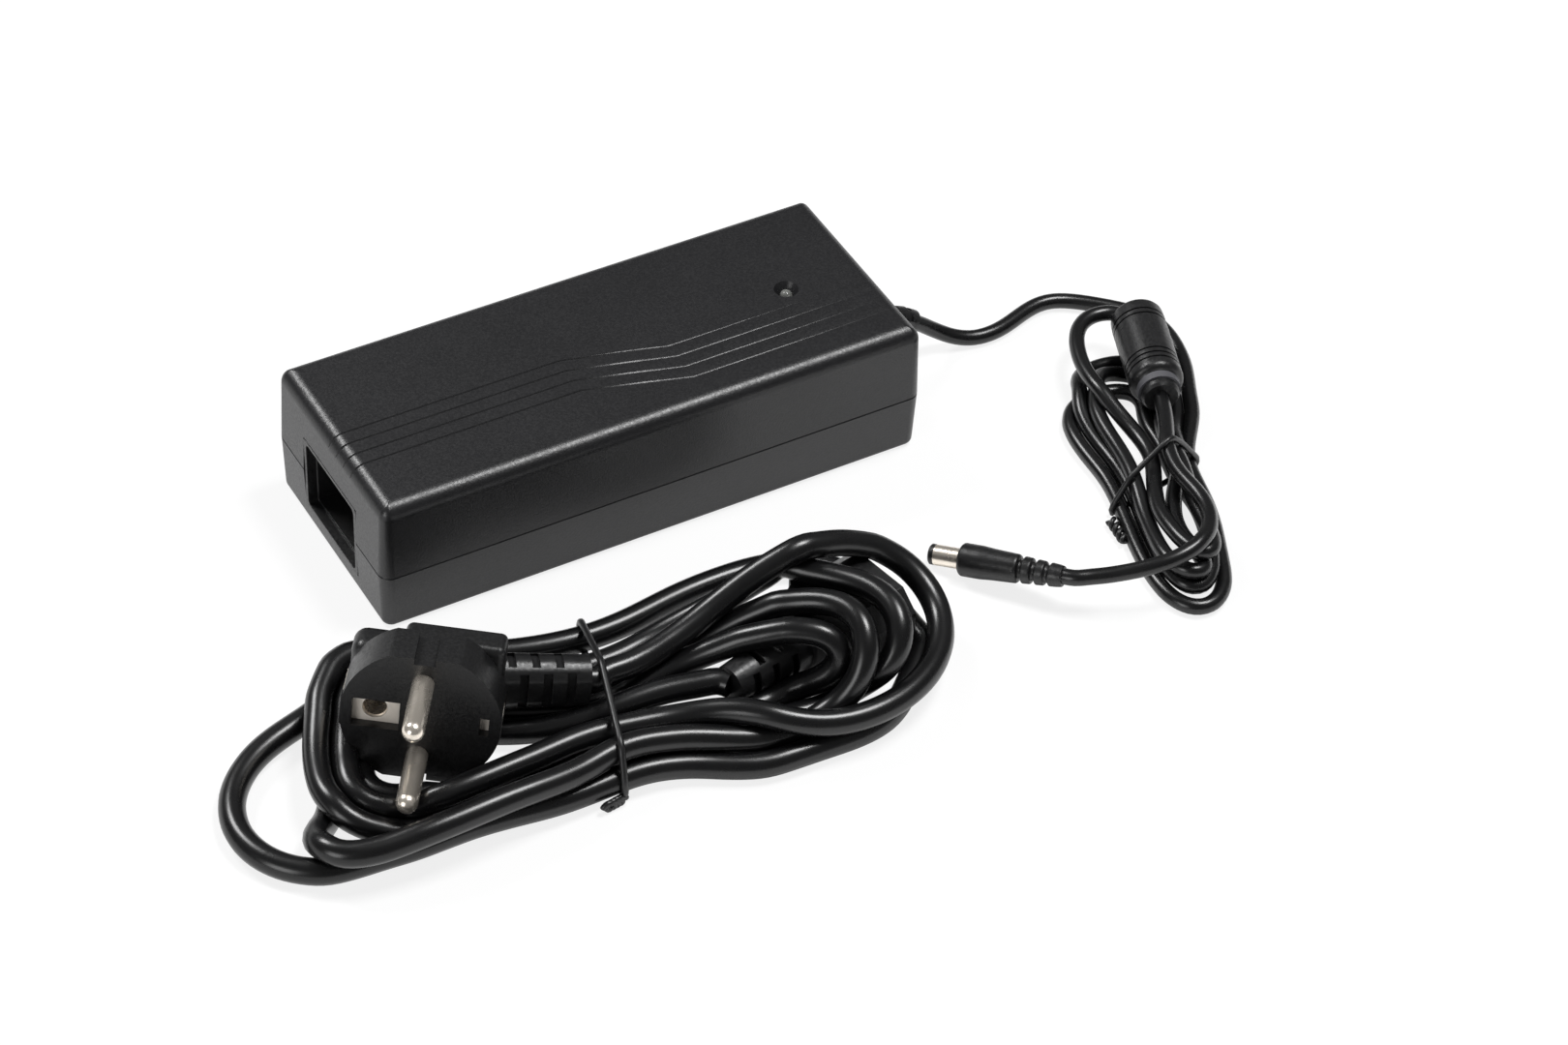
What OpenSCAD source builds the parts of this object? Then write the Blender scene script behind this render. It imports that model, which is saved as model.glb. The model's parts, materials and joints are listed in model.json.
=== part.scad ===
// Laptop power adapter: a sealed switching supply with an appliance inlet at one end and a fixed
// low-voltage cord at the other, and its coiled mains lead lying beside it.
// Millimetres, +Z up. Origin: centre of the housing's underside, +X toward the output cord.

/* [Housing] */
// Length of the housing
body_l = 137.7; // [136:0.1:141]
// Width of the housing
body_w = 56; // [55:0.5:60]
// Height of the housing
body_h = 35.2; // [34.6:0.1:38]
// Height of the parting line between the two covers
split_h = 15.3; // [14.9:0.1:16]
// Wall thickness of both covers
wall = 2.3; // [2:0.1:2.4]
// Radius of the four upright corners
corner_r = 3; // [2:0.5:5]
// Radius of the top edges
top_r = 3.6; // [2.6:0.1:4.6]
// Radius of the bottom edges
base_r = 1.7; // [1:0.1:2.2]
// How far the top cover's walls lean in
top_draft = 0.6; // [0.3:0.1:0.8]
// How far the bottom cover's walls lean in
base_draft = 0.5; // [0.3:0.1:0.8]
// Width of the lines moulded into the top
groove_w = 0.5; // [0.3:0.1:0.8]
// Depth of the lines moulded into the top
groove_t = 0.4; // [0.2:0.1:0.6]

/* [Inlet] */
// Width of the inlet's recess
recess_w = 24.1; // [23.8:0.1:24.4]
// Height of the inlet's recess
recess_h = 16.8; // [16.4:0.1:17.2]
// Depth of the inlet's recess
recess_t = 18; // [17:0.5:19]
// Spacing of the line and neutral blades
blade_pitch = 14; // [13.8:0.1:14.2]

/* [Plugs] */
// Diameter of the mains pins
pin_d = 4.8; // [4:0.1:4.8]
// Spacing of the mains pins
pin_pitch = 19; // [18.8:0.1:19.2]
// Length of the mains pins beyond the face
pin_l = 19; // [18.5:0.1:19.5]
// Radius of the plug's round front
plug_r = 17.3; // [17:0.1:17.8]
// Half height between the plug's flats
plug_flat = 15.8; // [15.4:0.1:16.4]
// Outer diameter of the low-voltage barrel
barrel_d = 4.8; // [4.6:0.1:5.5]
// Length of the low-voltage barrel
barrel_l = 7.5; // [7:0.5:9.5]

/* [Cords] */
// Diameter of the low-voltage cord
dc_d = 3.8; // [3.4:0.1:3.8]
// Diameter of the mains cord
ac_d = 6; // [5.4:0.1:6]
// Outer diameter of the ferrite case
ferrite_d = 13; // [12:0.5:13]
// Length of the ferrite case
ferrite_l = 29.2; // [28:0.2:30]

/* [Hidden] */
$fn = 48;

// ---- colours
case_black = "#29292b";
soft_black = "#1c1c1e";
cord_black = "#17171a";
nickel = "#e0d6c8";
brass = "#c9a25a";
board_green = "#2f6b3c";
copper = "#b8703c";
ferrite_grey = "#4a4a4e";
alu = "#c4c6c9";

// ---- housing, worked out from the settings
half_l = body_l / 2;
half_w = body_w / 2;
room_l = half_l - top_draft - wall;   // half length of the room inside
room_w = half_w - top_draft - wall;   // half width of the room inside
ceiling = body_h - wall;
seam = 0.25;                          // chamfer on both covers along the parting line
lip_t = 1.05;                         // thickness of the bottom cover's lip
lip_h = 1.5;                          // height of the lip
lap_gap = 0.05;                       // play between the lip and its recess
end_x = -half_l + 0.25;               // front plane of the inlet, flush with the leaning wall
board_top = 7.6;
board_t = 1.6;
led_x = 47.2;
led_y = -0.8;

// ---- general shapes
function arc(cx, cy, r, a0, a1, n) =
    [for (i = [0 : n]) let (a = a0 + (a1 - a0) * i / n) [cx + r * cos(a), cy + r * sin(a)]];
function mirrored(p) = concat(p, [for (i = [len(p) - 1 : -1 : 0]) [-p[i][0], p[i][1]]]);
// Rounded rectangle from (x0, y0) to (x1, y1)
function rounded(x0, y0, x1, y1, r, n) = concat(arc(x1 - r, y1 - r, r, 0, 90, n),
    arc(x0 + r, y1 - r, r, 90, 180, n), arc(x0 + r, y0 + r, r, 180, 270, n),
    arc(x1 - r, y0 + r, r, 270, 360, n));
// Rectangle with its two upper corners cut off by c
function bevelled(w, z0, z1, c) = [[-w, z0], [w, z0], [w, z1 - c], [w - c, z1], [c - w, z1],
    [-w, z1 - c]];

module block(x0, y0, z0, x1, y1, z1) {
    translate([x0, y0, z0])
        cube([x1 - x0, y1 - y0, z1 - z0]);
}
// Extrudes an outline drawn as (Y, Z) along X from x0 to x1
module along_x(x0, x1) {
    translate([x0, 0, 0])
        rotate([90, 0, 90])
            linear_extrude(x1 - x0)
                children();
}

// ---- swept cords: one polyhedron, a ring of n corners square to the path at every point
function unit(v) = v / norm(v);
function heading(p, i) = unit(p[min(i + 1, len(p) - 1)] - p[max(i - 1, 0)]);
function ring(p, i, r, n) = let (t = heading(p, i), s = unit(cross([0, 0, 1], t)), u = cross(t, s))
    [for (k = [0 : n - 1]) p[i] + r * (cos(360 * (k + 0.5) / n) * s + sin(360 * (k + 0.5) / n) * u)];
module tube(p, d, n) {
    last = len(p) - 1;
    corners = [for (i = [0 : last]) each ring(p, i, d / 2, n)];
    sides = [for (i = [0 : last - 1]) for (k = [0 : n - 1])
        [i * n + k, (i + 1) * n + k, (i + 1) * n + (k + 1) % n, i * n + (k + 1) % n]];
    polyhedron(corners, concat([[for (k = [0 : n - 1]) k]], sides,
        [[for (k = [n - 1 : -1 : 0]) last * n + k]]), convexity = 6);
}

// ---- housing
// Right half of each cover's side view: a lean, a rounded edge and the chamfer at the parting line
function top_side(h, s) = concat([[h - s - seam, split_h], [h - s, split_h + seam]],
    arc(h - top_draft - top_r, body_h - top_r, top_r - s, 0, 90, 7));
function base_side(h) = concat(arc(h - base_draft - base_r, base_r, base_r, -90, 0, 4),
    [[h, split_h - seam], [h - seam, split_h]]);

// A cover's outer form: the same side view along both axes, and the plan
module moulding(side_x, side_y) {
    intersection() {
        rotate([90, 0, 0])
            linear_extrude(body_w + 2, center = true)
                polygon(side_x);
        rotate([90, 0, 90])
            linear_extrude(body_l + 2, center = true)
                polygon(side_y);
        linear_extrude(body_h + 1)
            polygon(rounded(-half_l, -half_w, half_l, half_w, corner_r, 6));
    }
}
module room(z0, z1, grow) {
    block(-room_l - grow, -room_w - grow, z0, room_l + grow, room_w + grow, z1);
}
module inlet_opening() {
    along_x(-half_l - 1, -room_l + 1)
        polygon(rounded(-13.7, 4.8, 13.7, 24.9, 0.8, 3));
}
module gland_opening() {
    translate([room_l - 1, 0, split_h])
        rotate([0, 90, 0])
            cylinder(r = 3.65, h = wall + 3);
}
// One moulded line: straight from the inlet end, then a slanted step, then straight again
module line_strip(y0, y1) {
    w = groove_w / 2;
    polygon([[-half_l - 1, y0 - w], [-11, y0 - w], [13.7, y1 - w], [66, y1 - w], [66, y1 + w],
        [13.7, y1 + w], [-11, y0 + w], [-half_l - 1, y0 + w]]);
}
module moulded_lines() {
    intersection() {
        translate([0, 0, split_h + 12])
            linear_extrude(body_h)
                for (i = [0 : 3])
                    line_strip(0.4 - 3.73 * i, -6.1 - 3.97 * i);
        difference() {
            block(-half_l - 2, -half_w, split_h, half_l + 2, half_w, body_h + 1);
            rotate([90, 0, 0])
                linear_extrude(body_w + 4, center = true)
                    polygon(mirrored(top_side(half_l, groove_t)));
        }
    }
}
module led_seat() {
    translate([led_x, led_y, ceiling - 1])
        cylinder(r = 1.6, h = wall + 2);
    translate([led_x, led_y, body_h - 1.8])
        cylinder(r1 = 1.6, r2 = 2.9, h = 1.8);
}

module top_cover() {
    color(case_black)
        difference() {
            moulding(mirrored(top_side(half_l, 0)), mirrored(top_side(half_w, 0)));
            room(split_h - 1, ceiling, 0);
            room(split_h - 1, split_h + lip_h + 0.1, lip_t + lap_gap);
            inlet_opening();
            gland_opening();
            moulded_lines();
            led_seat();
        }
}

module bottom_cover() {
    color(case_black) {
        difference() {
            union() {
                moulding(mirrored(base_side(half_l)), mirrored(base_side(half_w)));
                room(split_h - 1, split_h + lip_h, lip_t);
            }
            room(wall, split_h + lip_h + 1, 0);
            inlet_opening();
            gland_opening();
            // the lip stops beside the inlet's flange and the strain relief's flange
            block(-room_l - 2, -15.5, split_h, -room_l + 1, 15.5, split_h + 3);
            block(room_l - 1, -6, split_h, room_l + 2, 6, split_h + 3);
        }
        // posts under the circuit board
        for (x = [-42, 6, 56])
            for (y = [-21.5, 21.5])
                translate([x, y, wall - 0.1])
                    cylinder(r = 2.4, h = board_top - board_t - wall + 0.1);
        // two ribs that stop the board along the housing
        for (y = [-14, 14])
            block(60, y - 1, wall - 0.1, 61.5, y + 1, board_top + 2);
    }
}

// ---- appliance inlet
inlet_mid = 14.8;
module blade_slot(y, z) {
    block(end_x + recess_t - 1, y - 1, z - 2, end_x + 23, y + 1, z + 2);
}
module mains_inlet() {
    z0 = inlet_mid - recess_h / 2;
    color(soft_black)
        difference() {
            union() {
                along_x(end_x, -room_l)
                    polygon(rounded(-13.6, 4.9, 13.6, 24.8, 0.8, 3));
                block(-room_l, -15.3, 3.2, -room_l + 1.5, 15.3, 26.5);
                along_x(-room_l + 1.5, end_x + 21.6)
                    polygon(rounded(-13.4, 5.1, 13.4, 24.6, 1.5, 3));
            }
            along_x(end_x - 1, end_x + 2.4)
                polygon(rounded(-12.4, 5.7, 12.4, 23.9, 1.2, 3));
            along_x(end_x + 2, end_x + recess_t)
                polygon(bevelled(recess_w / 2, z0, z0 + recess_h, 4.6));
            blade_slot(0, 16.8);
            blade_slot(blade_pitch / 2, 12.8);
            blade_slot(-blade_pitch / 2, 12.8);
        }
}
// A blade with a chamfered tip and a tail bent down to the board
module inlet_blade(y, z, tip) {
    x0 = end_x + tip;
    x1 = end_x + 24.5;
    color(nickel)
        intersection() {
            rotate([90, 0, 0])
                linear_extrude(60, center = true)
                    polygon([[x0, z - 1.2], [x0 + 1.2, z - 2], [x1 - 1, z - 2],
                        [x1 - 1, board_top], [x1, board_top], [x1, z + 2], [x0 + 1.2, z + 2],
                        [x0, z + 1.2]]);
            linear_extrude(60)
                polygon([[x0, y - 0.5], [x0 + 1.2, y - 1], [x1, y - 1], [x1, y + 1],
                    [x0 + 1.2, y + 1], [x0, y + 0.5]]);
        }
}
module inlet_earth_blade() {
    inlet_blade(0, 16.8, 4.1);
}
module inlet_line_blade() {
    inlet_blade(blade_pitch / 2, 12.8, 6);
}
module inlet_neutral_blade() {
    inlet_blade(-blade_pitch / 2, 12.8, 6);
}

// ---- circuit board and what stands on it
module circuit_board() {
    color(board_green)
        difference() {
            block(-46, -24.3, board_top - board_t, 60, 24.3, board_top);
            // isolation slot between the mains side and the output side
            block(-1, 14.2, 0, 0.5, 21, 20);
        }
}
module on_board(x, y) {
    translate([x, y, board_top])
        children();
}
// Wire-wound core lying flat, and the coil round it
coil_gap = 0.04;   // varnish between the core and its coil
module choke_core(ro, ri, h) {
    color(ferrite_grey)
        translate([0, 0, 1])
            difference() {
                cylinder(r = ro, h = h);
                translate([0, 0, -1])
                    cylinder(r = ri, h = h + 2);
            }
}
module choke_coil(ro, ri, h, from, sweep) {
    color(copper)
        rotate([0, 0, from])
            rotate_extrude(angle = sweep)
                difference() {
                    translate([ri - 1, 0])
                        square([ro - ri + 2, h + 2]);
                    translate([ri - coil_gap, 1 - coil_gap])
                        square([ro - ri + 2 * coil_gap, h + 2 * coil_gap]);
                }
}
// Capacitor can: crimp groove near the foot, shallow dished top
module capacitor_can(r, h, tint) {
    color(tint)
        rotate_extrude()
            polygon([[0, 0], [r - 0.5, 0], [r, 0.5], [r, 2], [r - 0.5, 2.5], [r, 3], [r, h - 0.6],
                [r - 0.6, h], [r - 1.4, h], [r - 1.8, h - 0.3], [0, h - 0.3]]);
}
module mains_fuse() {
    on_board(-38, 18)
        color("#5a2a1c")
            rotate_extrude()
                polygon([[0, 0], [4.2, 0], [4.2, 7.4], [3.6, 8], [0, 8]]);
}
module x_capacitor() {
    color("#c8a02c")
        on_board(-34, -18)
            block(-9, -4.2, 0, 9, 4.2, 15);
}
module common_choke_core() {
    on_board(-33, 0)
        choke_core(9, 5, 7);
}
module common_choke_windings() {
    for (a = [25, 205])
        on_board(-33, 0)
            choke_coil(9, 5, 7, a, 130);
}
module bridge_rectifier() {
    color("#202022")
        on_board(-17, -20)
            rotate([90, 0, 0])
                linear_extrude(4, center = true)
                    polygon([[-7.5, 3], [-7.5, 12], [-5.5, 14], [7.5, 14], [7.5, 3]]);
    color(nickel)
        on_board(-17, -20)
            for (x = [-5.7, -1.9, 1.9, 5.7])
                block(x - 0.5, -0.3, 0, x + 0.5, 0.3, 3);
}
module bulk_capacitor() {
    on_board(-10, 11)
        capacitor_can(9, 24.5, "#2a3550");
}
module output_capacitor_1() {
    on_board(40, -14)
        capacitor_can(5, 20, "#3a2f2a");
}
module output_capacitor_2() {
    on_board(52, -14)
        capacitor_can(5, 20, "#3a2f2a");
}
// Upright heat sink: a plate with n fins on its outer side
module heatsink(length, height, n) {
    color(alu)
        linear_extrude(height) {
            square([length, 1.5]);
            for (i = [0 : n - 1])
                translate([i * (length - 1) / (n - 1), -2.4])
                    square([1, 2.5]);
        }
}
module primary_heatsink() {
    on_board(-19, -14)
        heatsink(22, 22, 6);
}
module secondary_heatsink() {
    on_board(54, 14)
        rotate([0, 0, 180])
            heatsink(20, 20, 6);
}
// Transistor or rectifier in a tabbed package, tab against the plane y = 0
module tabbed_package() {
    color("#1b1b1d")
        block(-5, 0, 5, 5, 4.6, 14);
    color(nickel)
        difference() {
            block(-5, 0, 14, 5, 1.3, 20);
            translate([0, -1, 17])
                rotate([-90, 0, 0])
                    cylinder(r = 1.8, h = 4);
        }
    color(nickel)
        for (x = [-2.54, 0, 2.54])
            block(x - 0.4, 2.2, 0, x + 0.4, 2.7, 5);
}
module power_transistor() {
    on_board(-8, -12.5)
        tabbed_package();
}
module output_rectifier() {
    on_board(44, 12.5)
        rotate([0, 0, 180])
            tabbed_package();
}
core_mid = 12.8;   // height of the transformer's centre leg above the board
module transformer_core() {
    color(ferrite_grey)
        on_board(18, 0)
            difference() {
                block(-13.5, -13.6, core_mid - 5.5, 13.5, 13.6, core_mid + 5.5);
                for (s = [-1, 1])
                    block(-10.1, s * 6.85 - 3.35, 0, 10.1, s * 6.85 + 3.35, 30);
                // the centre leg is lower than the two outer legs
                block(-10.1, -4, core_mid + 3.5, 10.1, 4, 30);
                block(-10.1, -4, 0, 10.1, 4, core_mid - 3.5);
            }
}
module transformer_bobbin() {
    color("#e6e2d4")
        on_board(18, 0)
            difference() {
                union() {
                    block(-13, -12, 0, 13, 12, 2.6);
                    for (x = [-10, 8])
                        block(x, -10, 2.6, x + 2, 10, 22.4);
                    block(-10, -4.5, core_mid - 4.5, 10, 4.5, core_mid + 4.5);
                }
                block(-14, -3.5, core_mid - 3.5, 14, 3.5, core_mid + 3.5);
            }
}
module transformer_winding() {
    color("#d9b13a")
        on_board(18, 0)
            difference() {
                translate([-8, 0, core_mid])
                    rotate([0, 90, 0])
                        cylinder(r = 9, h = 16);
                block(-9, -4.5, core_mid - 4.5, 9, 4.5, core_mid + 4.5);
            }
}
module safety_capacitor() {
    color("#2f5fa8")
        on_board(8, 18)
            translate([0, -1.7, 5])
                rotate([-90, 0, 0])
                    cylinder(r = 4, h = 3.4);
    color(nickel)
        on_board(8, 18)
            for (x = [-2.5, 2.5])
                block(x - 0.4, -0.4, 0, x + 0.4, 0.4, 2.4);
}
module optocoupler() {
    color("#ece9e0")
        on_board(18, 18)
            block(-2.3, -3.2, 0, 2.3, 3.2, 3.5);
}
module controller_ic() {
    color("#1b1b1d")
        on_board(28, 19)
            block(-3, -2, 0, 3, 2, 1.6);
}
module output_choke_core() {
    on_board(39.5, -1)
        choke_core(4.7, 2.6, 7);
}
module output_choke_winding() {
    on_board(39.5, -1)
        choke_coil(4.7, 2.6, 7, 15, 300);
}
// U-shaped sheet that lines the top cover, with a hole for the indicator
module lining(inset, t) {
    difference() {
        block(-43, -room_w + inset, 17.2, 59, room_w - inset, ceiling - inset);
        block(-44, -room_w + inset + t, 17, 60, room_w - inset - t, ceiling - inset - t);
        translate([led_x, led_y, 20])
            cylinder(r = 3, h = 20);
    }
}
module emi_shield() {
    color(copper)
        lining(0, 0.3);
}
module insulation_sheet() {
    color("#d8d2b8")
        lining(0.3, 0.4);
}
module status_led() {
    color("#d8f0e0")
        translate([led_x, led_y, 0])
            rotate_extrude()
                polygon(concat([[0, 29], [1.9, 29], [1.9, 30], [1.5, 30]],
                    arc(0, 33.2, 1.5, 0, 90, 6)));
    color(nickel)
        for (s = [-1, 1])
            translate([led_x + s * 1.27, led_y, 0])
                block(-0.25, -0.25, board_top, 0.25, 0.25, 29);
}
// Insulated wire from the strain relief down to the board
module output_lead(y) {
    rotate([0, 90, 0])
        translate([-split_h, y, 60])
            cylinder(r = 0.9, h = room_l - 2 - 60);
    translate([60, y, split_h - 3.5])
        rotate([90, 0, 0])
            rotate([0, 0, 90])
                rotate_extrude(angle = 90)
                    translate([3.5, 0])
                        circle(r = 0.9);
    translate([56.5, y, board_top])
        cylinder(r = 0.9, h = split_h - 3.5 - board_top);
}
module output_lead_positive() {
    color("#b02a22")
        output_lead(1.3);
}
module output_lead_negative() {
    color("#1a1a1a")
        output_lead(-1.3);
}

// ---- bent strain relief of the low-voltage cord
bend_r = 20;    // radius that the relief is moulded to
bend_a = 38;    // how far it bends down
root_l = 2.05;  // straight root outside the wall
module bend_piece(a0, a1) {
    translate([half_l + root_l, 0, split_h - bend_r])
        rotate([90, 0, 0])
            rotate([0, 0, 90 - a1])
                rotate_extrude(angle = a1 - a0)
                    translate([bend_r, 0])
                        children();
}
module cord_strain_relief() {
    color(soft_black) {
        block(room_l - 2, -5, split_h - 5, room_l, 5, split_h + 5);
        translate([room_l - 0.5, 0, split_h])
            rotate([0, 90, 0])
                cylinder(r = 3.6, h = half_l + 0.8 - room_l);
        translate([half_l, 0, split_h])
            rotate([0, 90, 0])
                cylinder(r = 3.3, h = root_l + 0.05);
        // flexible core, and four rings of falling size with slots between them
        bend_piece(0, bend_a)
            circle(r = 2.4);
        for (i = [0 : 3])
            bend_piece(10 * i + 1, 10 * i + 7)
                circle(r = 3.35 - 0.22 * i);
        // webs that join the rings, by turns beside and above the core
        for (i = [0 : 2])
            bend_piece(10 * i + 6, 10 * i + 12)
                square(i % 2 == 0 ? [2, 5.6] : [5.6, 2], center = true);
    }
}

// ---- low-voltage cord, its ferrite, plug and tie
relief_end = [half_l + root_l + bend_r * sin(bend_a), 0, split_h - bend_r * (1 - cos(bend_a))];
lead_route = [relief_end, [87, 0, 8.1], [91, -0.5, 5], [95, -1.8, 2.8], [99, -3.4, 2.1],
    [105, -4, 2.1], [111, -2, 2.1], [116, -0.9, 2.1]];
module dc_cord_lead() {
    color(cord_black)
        tube(lead_route, dc_d, 8);
}
ferrite_at = [126.9, -35.9, dc_d + ferrite_d / 2];   // it lies on one layer of the hank's turns
ferrite_turn = -110.9;   // heading of the ferrite's axis
module at_ferrite() {
    translate(ferrite_at)
        rotate([0, 0, ferrite_turn])
            rotate([0, 90, 0])
                children();
}
module dc_hank_outline() {
    hull() {
        translate([122, -19])
            circle(r = 20, $fn = 32);
        translate([116, -42])
            circle(r = 17, $fn = 32);
    }
    hull() {
        translate([116, -42])
            circle(r = 17, $fn = 32);
        translate([107, -66])
            circle(r = 10.5, $fn = 32);
    }
    hull() {
        translate([107, -66])
            circle(r = 10.5, $fn = 32);
        translate([103, -94])
            circle(r = 12.5, $fn = 32);
    }
}
module dc_cord_hank() {
    color(cord_black)
        difference() {
            linear_extrude(2 * dc_d)
                dc_hank_outline();
            at_ferrite()
                cylinder(d = ferrite_d, h = ferrite_l, center = true);
            dc_tie_loop();
        }
}
// Moulded sleeve: rounded ends, two rings at one end, three at the other, and a neck
module ferrite_case() {
    l = ferrite_l / 2;
    r = ferrite_d / 2;
    color(soft_black)
        at_ferrite()
            difference() {
                rotate_extrude()
                    polygon(concat([[dc_d / 2 + 0.1, -l], [3.6, -l]], [[3.6, 2.4 - l]],
                        arc(r - 1.8, 4.2 - l, 1.8, -90, 0, 4),
                        [for (i = [0 : 2]) each [[r, 5.4 - l + 2 * i], [r - 0.5, 5.6 - l + 2 * i],
                            [r - 0.5, 6.2 - l + 2 * i], [r, 6.4 - l + 2 * i]]],
                        [for (i = [0 : 1]) each [[r, l - 6.4 + 2 * i], [r - 0.5, l - 6.2 + 2 * i],
                            [r - 0.5, l - 5.6 + 2 * i], [r, l - 5.4 + 2 * i]]],
                        arc(r - 1.8, l - 1.8, 1.8, 0, 90, 4), [[dc_d / 2 + 0.1, l]]));
                translate([0, 0, 4 - l])
                    cylinder(r = r - 1.4, h = ferrite_l - 6);
            }
}
module ferrite_core() {
    color(ferrite_grey)
        at_ferrite()
            translate([0, 0, 4 - ferrite_l / 2])
                difference() {
                    cylinder(r = ferrite_d / 2 - 1.4, h = ferrite_l - 6);
                    translate([0, 0, -1])
                        cylinder(r = dc_d / 2 + 0.4, h = ferrite_l);
                }
}

dc_tip = [50.9, -63.7, 2.6];   // middle of the barrel's open end
dc_aim = [0, 79.6, -52.4];     // turns +Z onto the plug's axis, rising toward the cord
grip_l = 14.2;
dc_relief_l = 10.6;
bore_r = 0.85;                 // bore for the socket's centre pin
module at_dc_plug() {
    translate(dc_tip)
        rotate(dc_aim)
            children();
}
module dc_plug_insulator() {
    color(soft_black)
        at_dc_plug()
            rotate_extrude()
                polygon([[bore_r, 0], [barrel_d / 2 - 0.3, 0], [barrel_d / 2, 0.3],
                    [barrel_d / 2, 1.3], [barrel_d / 2 - 0.5, 1.3], [barrel_d / 2 - 0.5, barrel_l],
                    [1.25, barrel_l], [1.25, 1.3], [bore_r, 1.3]]);
}
module dc_plug_sleeve() {
    color(nickel)
        at_dc_plug()
            rotate_extrude()
                polygon([[barrel_d / 2 - 0.5, 1.3], [barrel_d / 2, 1.3], [barrel_d / 2, barrel_l],
                    [barrel_d / 2 - 0.2, barrel_l], [barrel_d / 2 - 0.2, barrel_l + 4],
                    [barrel_d / 2 - 0.5, barrel_l + 4]]);
}
module dc_plug_contact() {
    color(nickel)
        at_dc_plug()
            rotate_extrude()
                polygon([[bore_r, 1.3], [1.25, 1.3], [1.25, barrel_l + 5], [0, barrel_l + 5],
                    [0, barrel_l + 3], [bore_r, barrel_l + 3]]);
}
module dc_plug_grip() {
    b = barrel_l;
    g = barrel_l + grip_l;
    color(soft_black)
        at_dc_plug()
            difference() {
                rotate_extrude()
                    polygon(concat([[0, b], [3.3, b], [3.85, b + 0.6], [3.85, b + 5], [3.6, b + 8],
                        [3.35, g - 0.5], [3, g]],
                        [for (i = [0 : 2]) each [[2.1, g + 0.1 + 3.2 * i], [2.1, g + 0.9 + 3.2 * i],
                            [3.15 - 0.2 * i, g + 1.1 + 3.2 * i], [3 - 0.2 * i, g + 3 + 3.2 * i]]],
                        [[2.4, g + dc_relief_l], [0, g + dc_relief_l]]));
                translate([0, 0, b - 1])
                    cylinder(r = barrel_d / 2 - 0.2, h = 5);
                translate([0, 0, b + 3])
                    cylinder(r = 1.25, h = 2);
            }
}
dc_plug_l = barrel_l + grip_l + dc_relief_l;
dc_axis = [sin(79.6) * cos(-52.4), sin(79.6) * sin(-52.4), cos(79.6)];
tail_start = dc_tip + dc_plug_l * dc_axis;
tail_route = [tail_start, tail_start + 2.5 * dc_axis, [74, -92.6, 8.6], [78, -93.6, 7.8],
    [84, -93, 6.4], [91, -92, 4.8], [95, -91.6, 4.4]];
module dc_cord_tail() {
    color(cord_black)
        tube(tail_route, dc_d, 8);
}
// Round wire loop standing across a bundle: width w, height h, wire thickness t
module tie_ring(w, h, t) {
    rotate([90, 0, 90])
        linear_extrude(t, center = true)
            difference() {
                polygon(rounded(-w / 2, 0, w / 2, h, h / 2 - 0.01, 6));
                polygon(rounded(t - w / 2, t, w / 2 - t, h - t, h / 2 - t - 0.01, 6));
            }
}
module dc_tie_loop() {
    translate([106.2, -67.5, 0])
        rotate([0, 0, 101])
            tie_ring(23.6, 9, 1.4);
}
module dc_cord_tie() {
    color("#101012")
        dc_tie_loop();
}

// ---- mains plug: +X is the way the pins point, +Y the way the cord leaves
plug_at = [-81.2, -72, 18.2];
plug_turn = [-4, -9, -123];
disc_t = 12;      // depth of the round front
plug_depth = 20.5;  // depth from the face to the back
back_h = 9.6;     // half height of the back housing
relief_a = 14;    // the strain relief leans back by this much
pin_step = 0.2;   // the pins are this much thinner inside the plug
module at_plug() {
    translate(plug_at)
        rotate(plug_turn)
            children();
}
module plug_outline() {
    intersection() {
        circle(r = plug_r, $fn = 96);
        square([40, 2 * plug_flat], center = true);
        for (a = [-38, 38])
            rotate(a)
                square([40, 2 * plug_flat + 1.6], center = true);
    }
}
module guide_groove(s) {
    block(-disc_t - 1, -2.3, s * plug_flat - 1.6, 1, 2.3, s * plug_flat + 1.6);
}
// Everything that the soft moulding is shaped round
module plug_inserts() {
    bridge_form();
    strip_form();
    socket_form();
    for (s = [-1, 1])
        pin_form(s);
}
module pin_form(s) {
    translate([0, 0, s * pin_pitch / 2])
        rotate([0, 90, 0])
            rotate_extrude()
                polygon(concat([[0, -11.4], [1.6, -11.4], [1.6, -9.6], [pin_d / 2 - pin_step, -9.6],
                    [pin_d / 2 - pin_step, 0], [pin_d / 2, 0]],
                    arc(0, pin_l - pin_d / 2, pin_d / 2, 0, 90, 8)));
}
module bridge_form() {
    difference() {
        along_x(-9.5, -5.5)
            polygon(rounded(-12.4, -12.4, 12.4, 12.4, 3.6, 3));
        for (s = [-1, 1])
            translate([-10, 0, s * pin_pitch / 2])
                rotate([0, 90, 0])
                    cylinder(r = pin_d / 2 - pin_step, h = 5);
        translate([-10, -10, 0])
            rotate([0, 90, 0])
                cylinder(r = 3.2, h = 5);
        block(-10, -3.6, -3.6, -5, 3.6, 3.6);
    }
}
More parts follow.
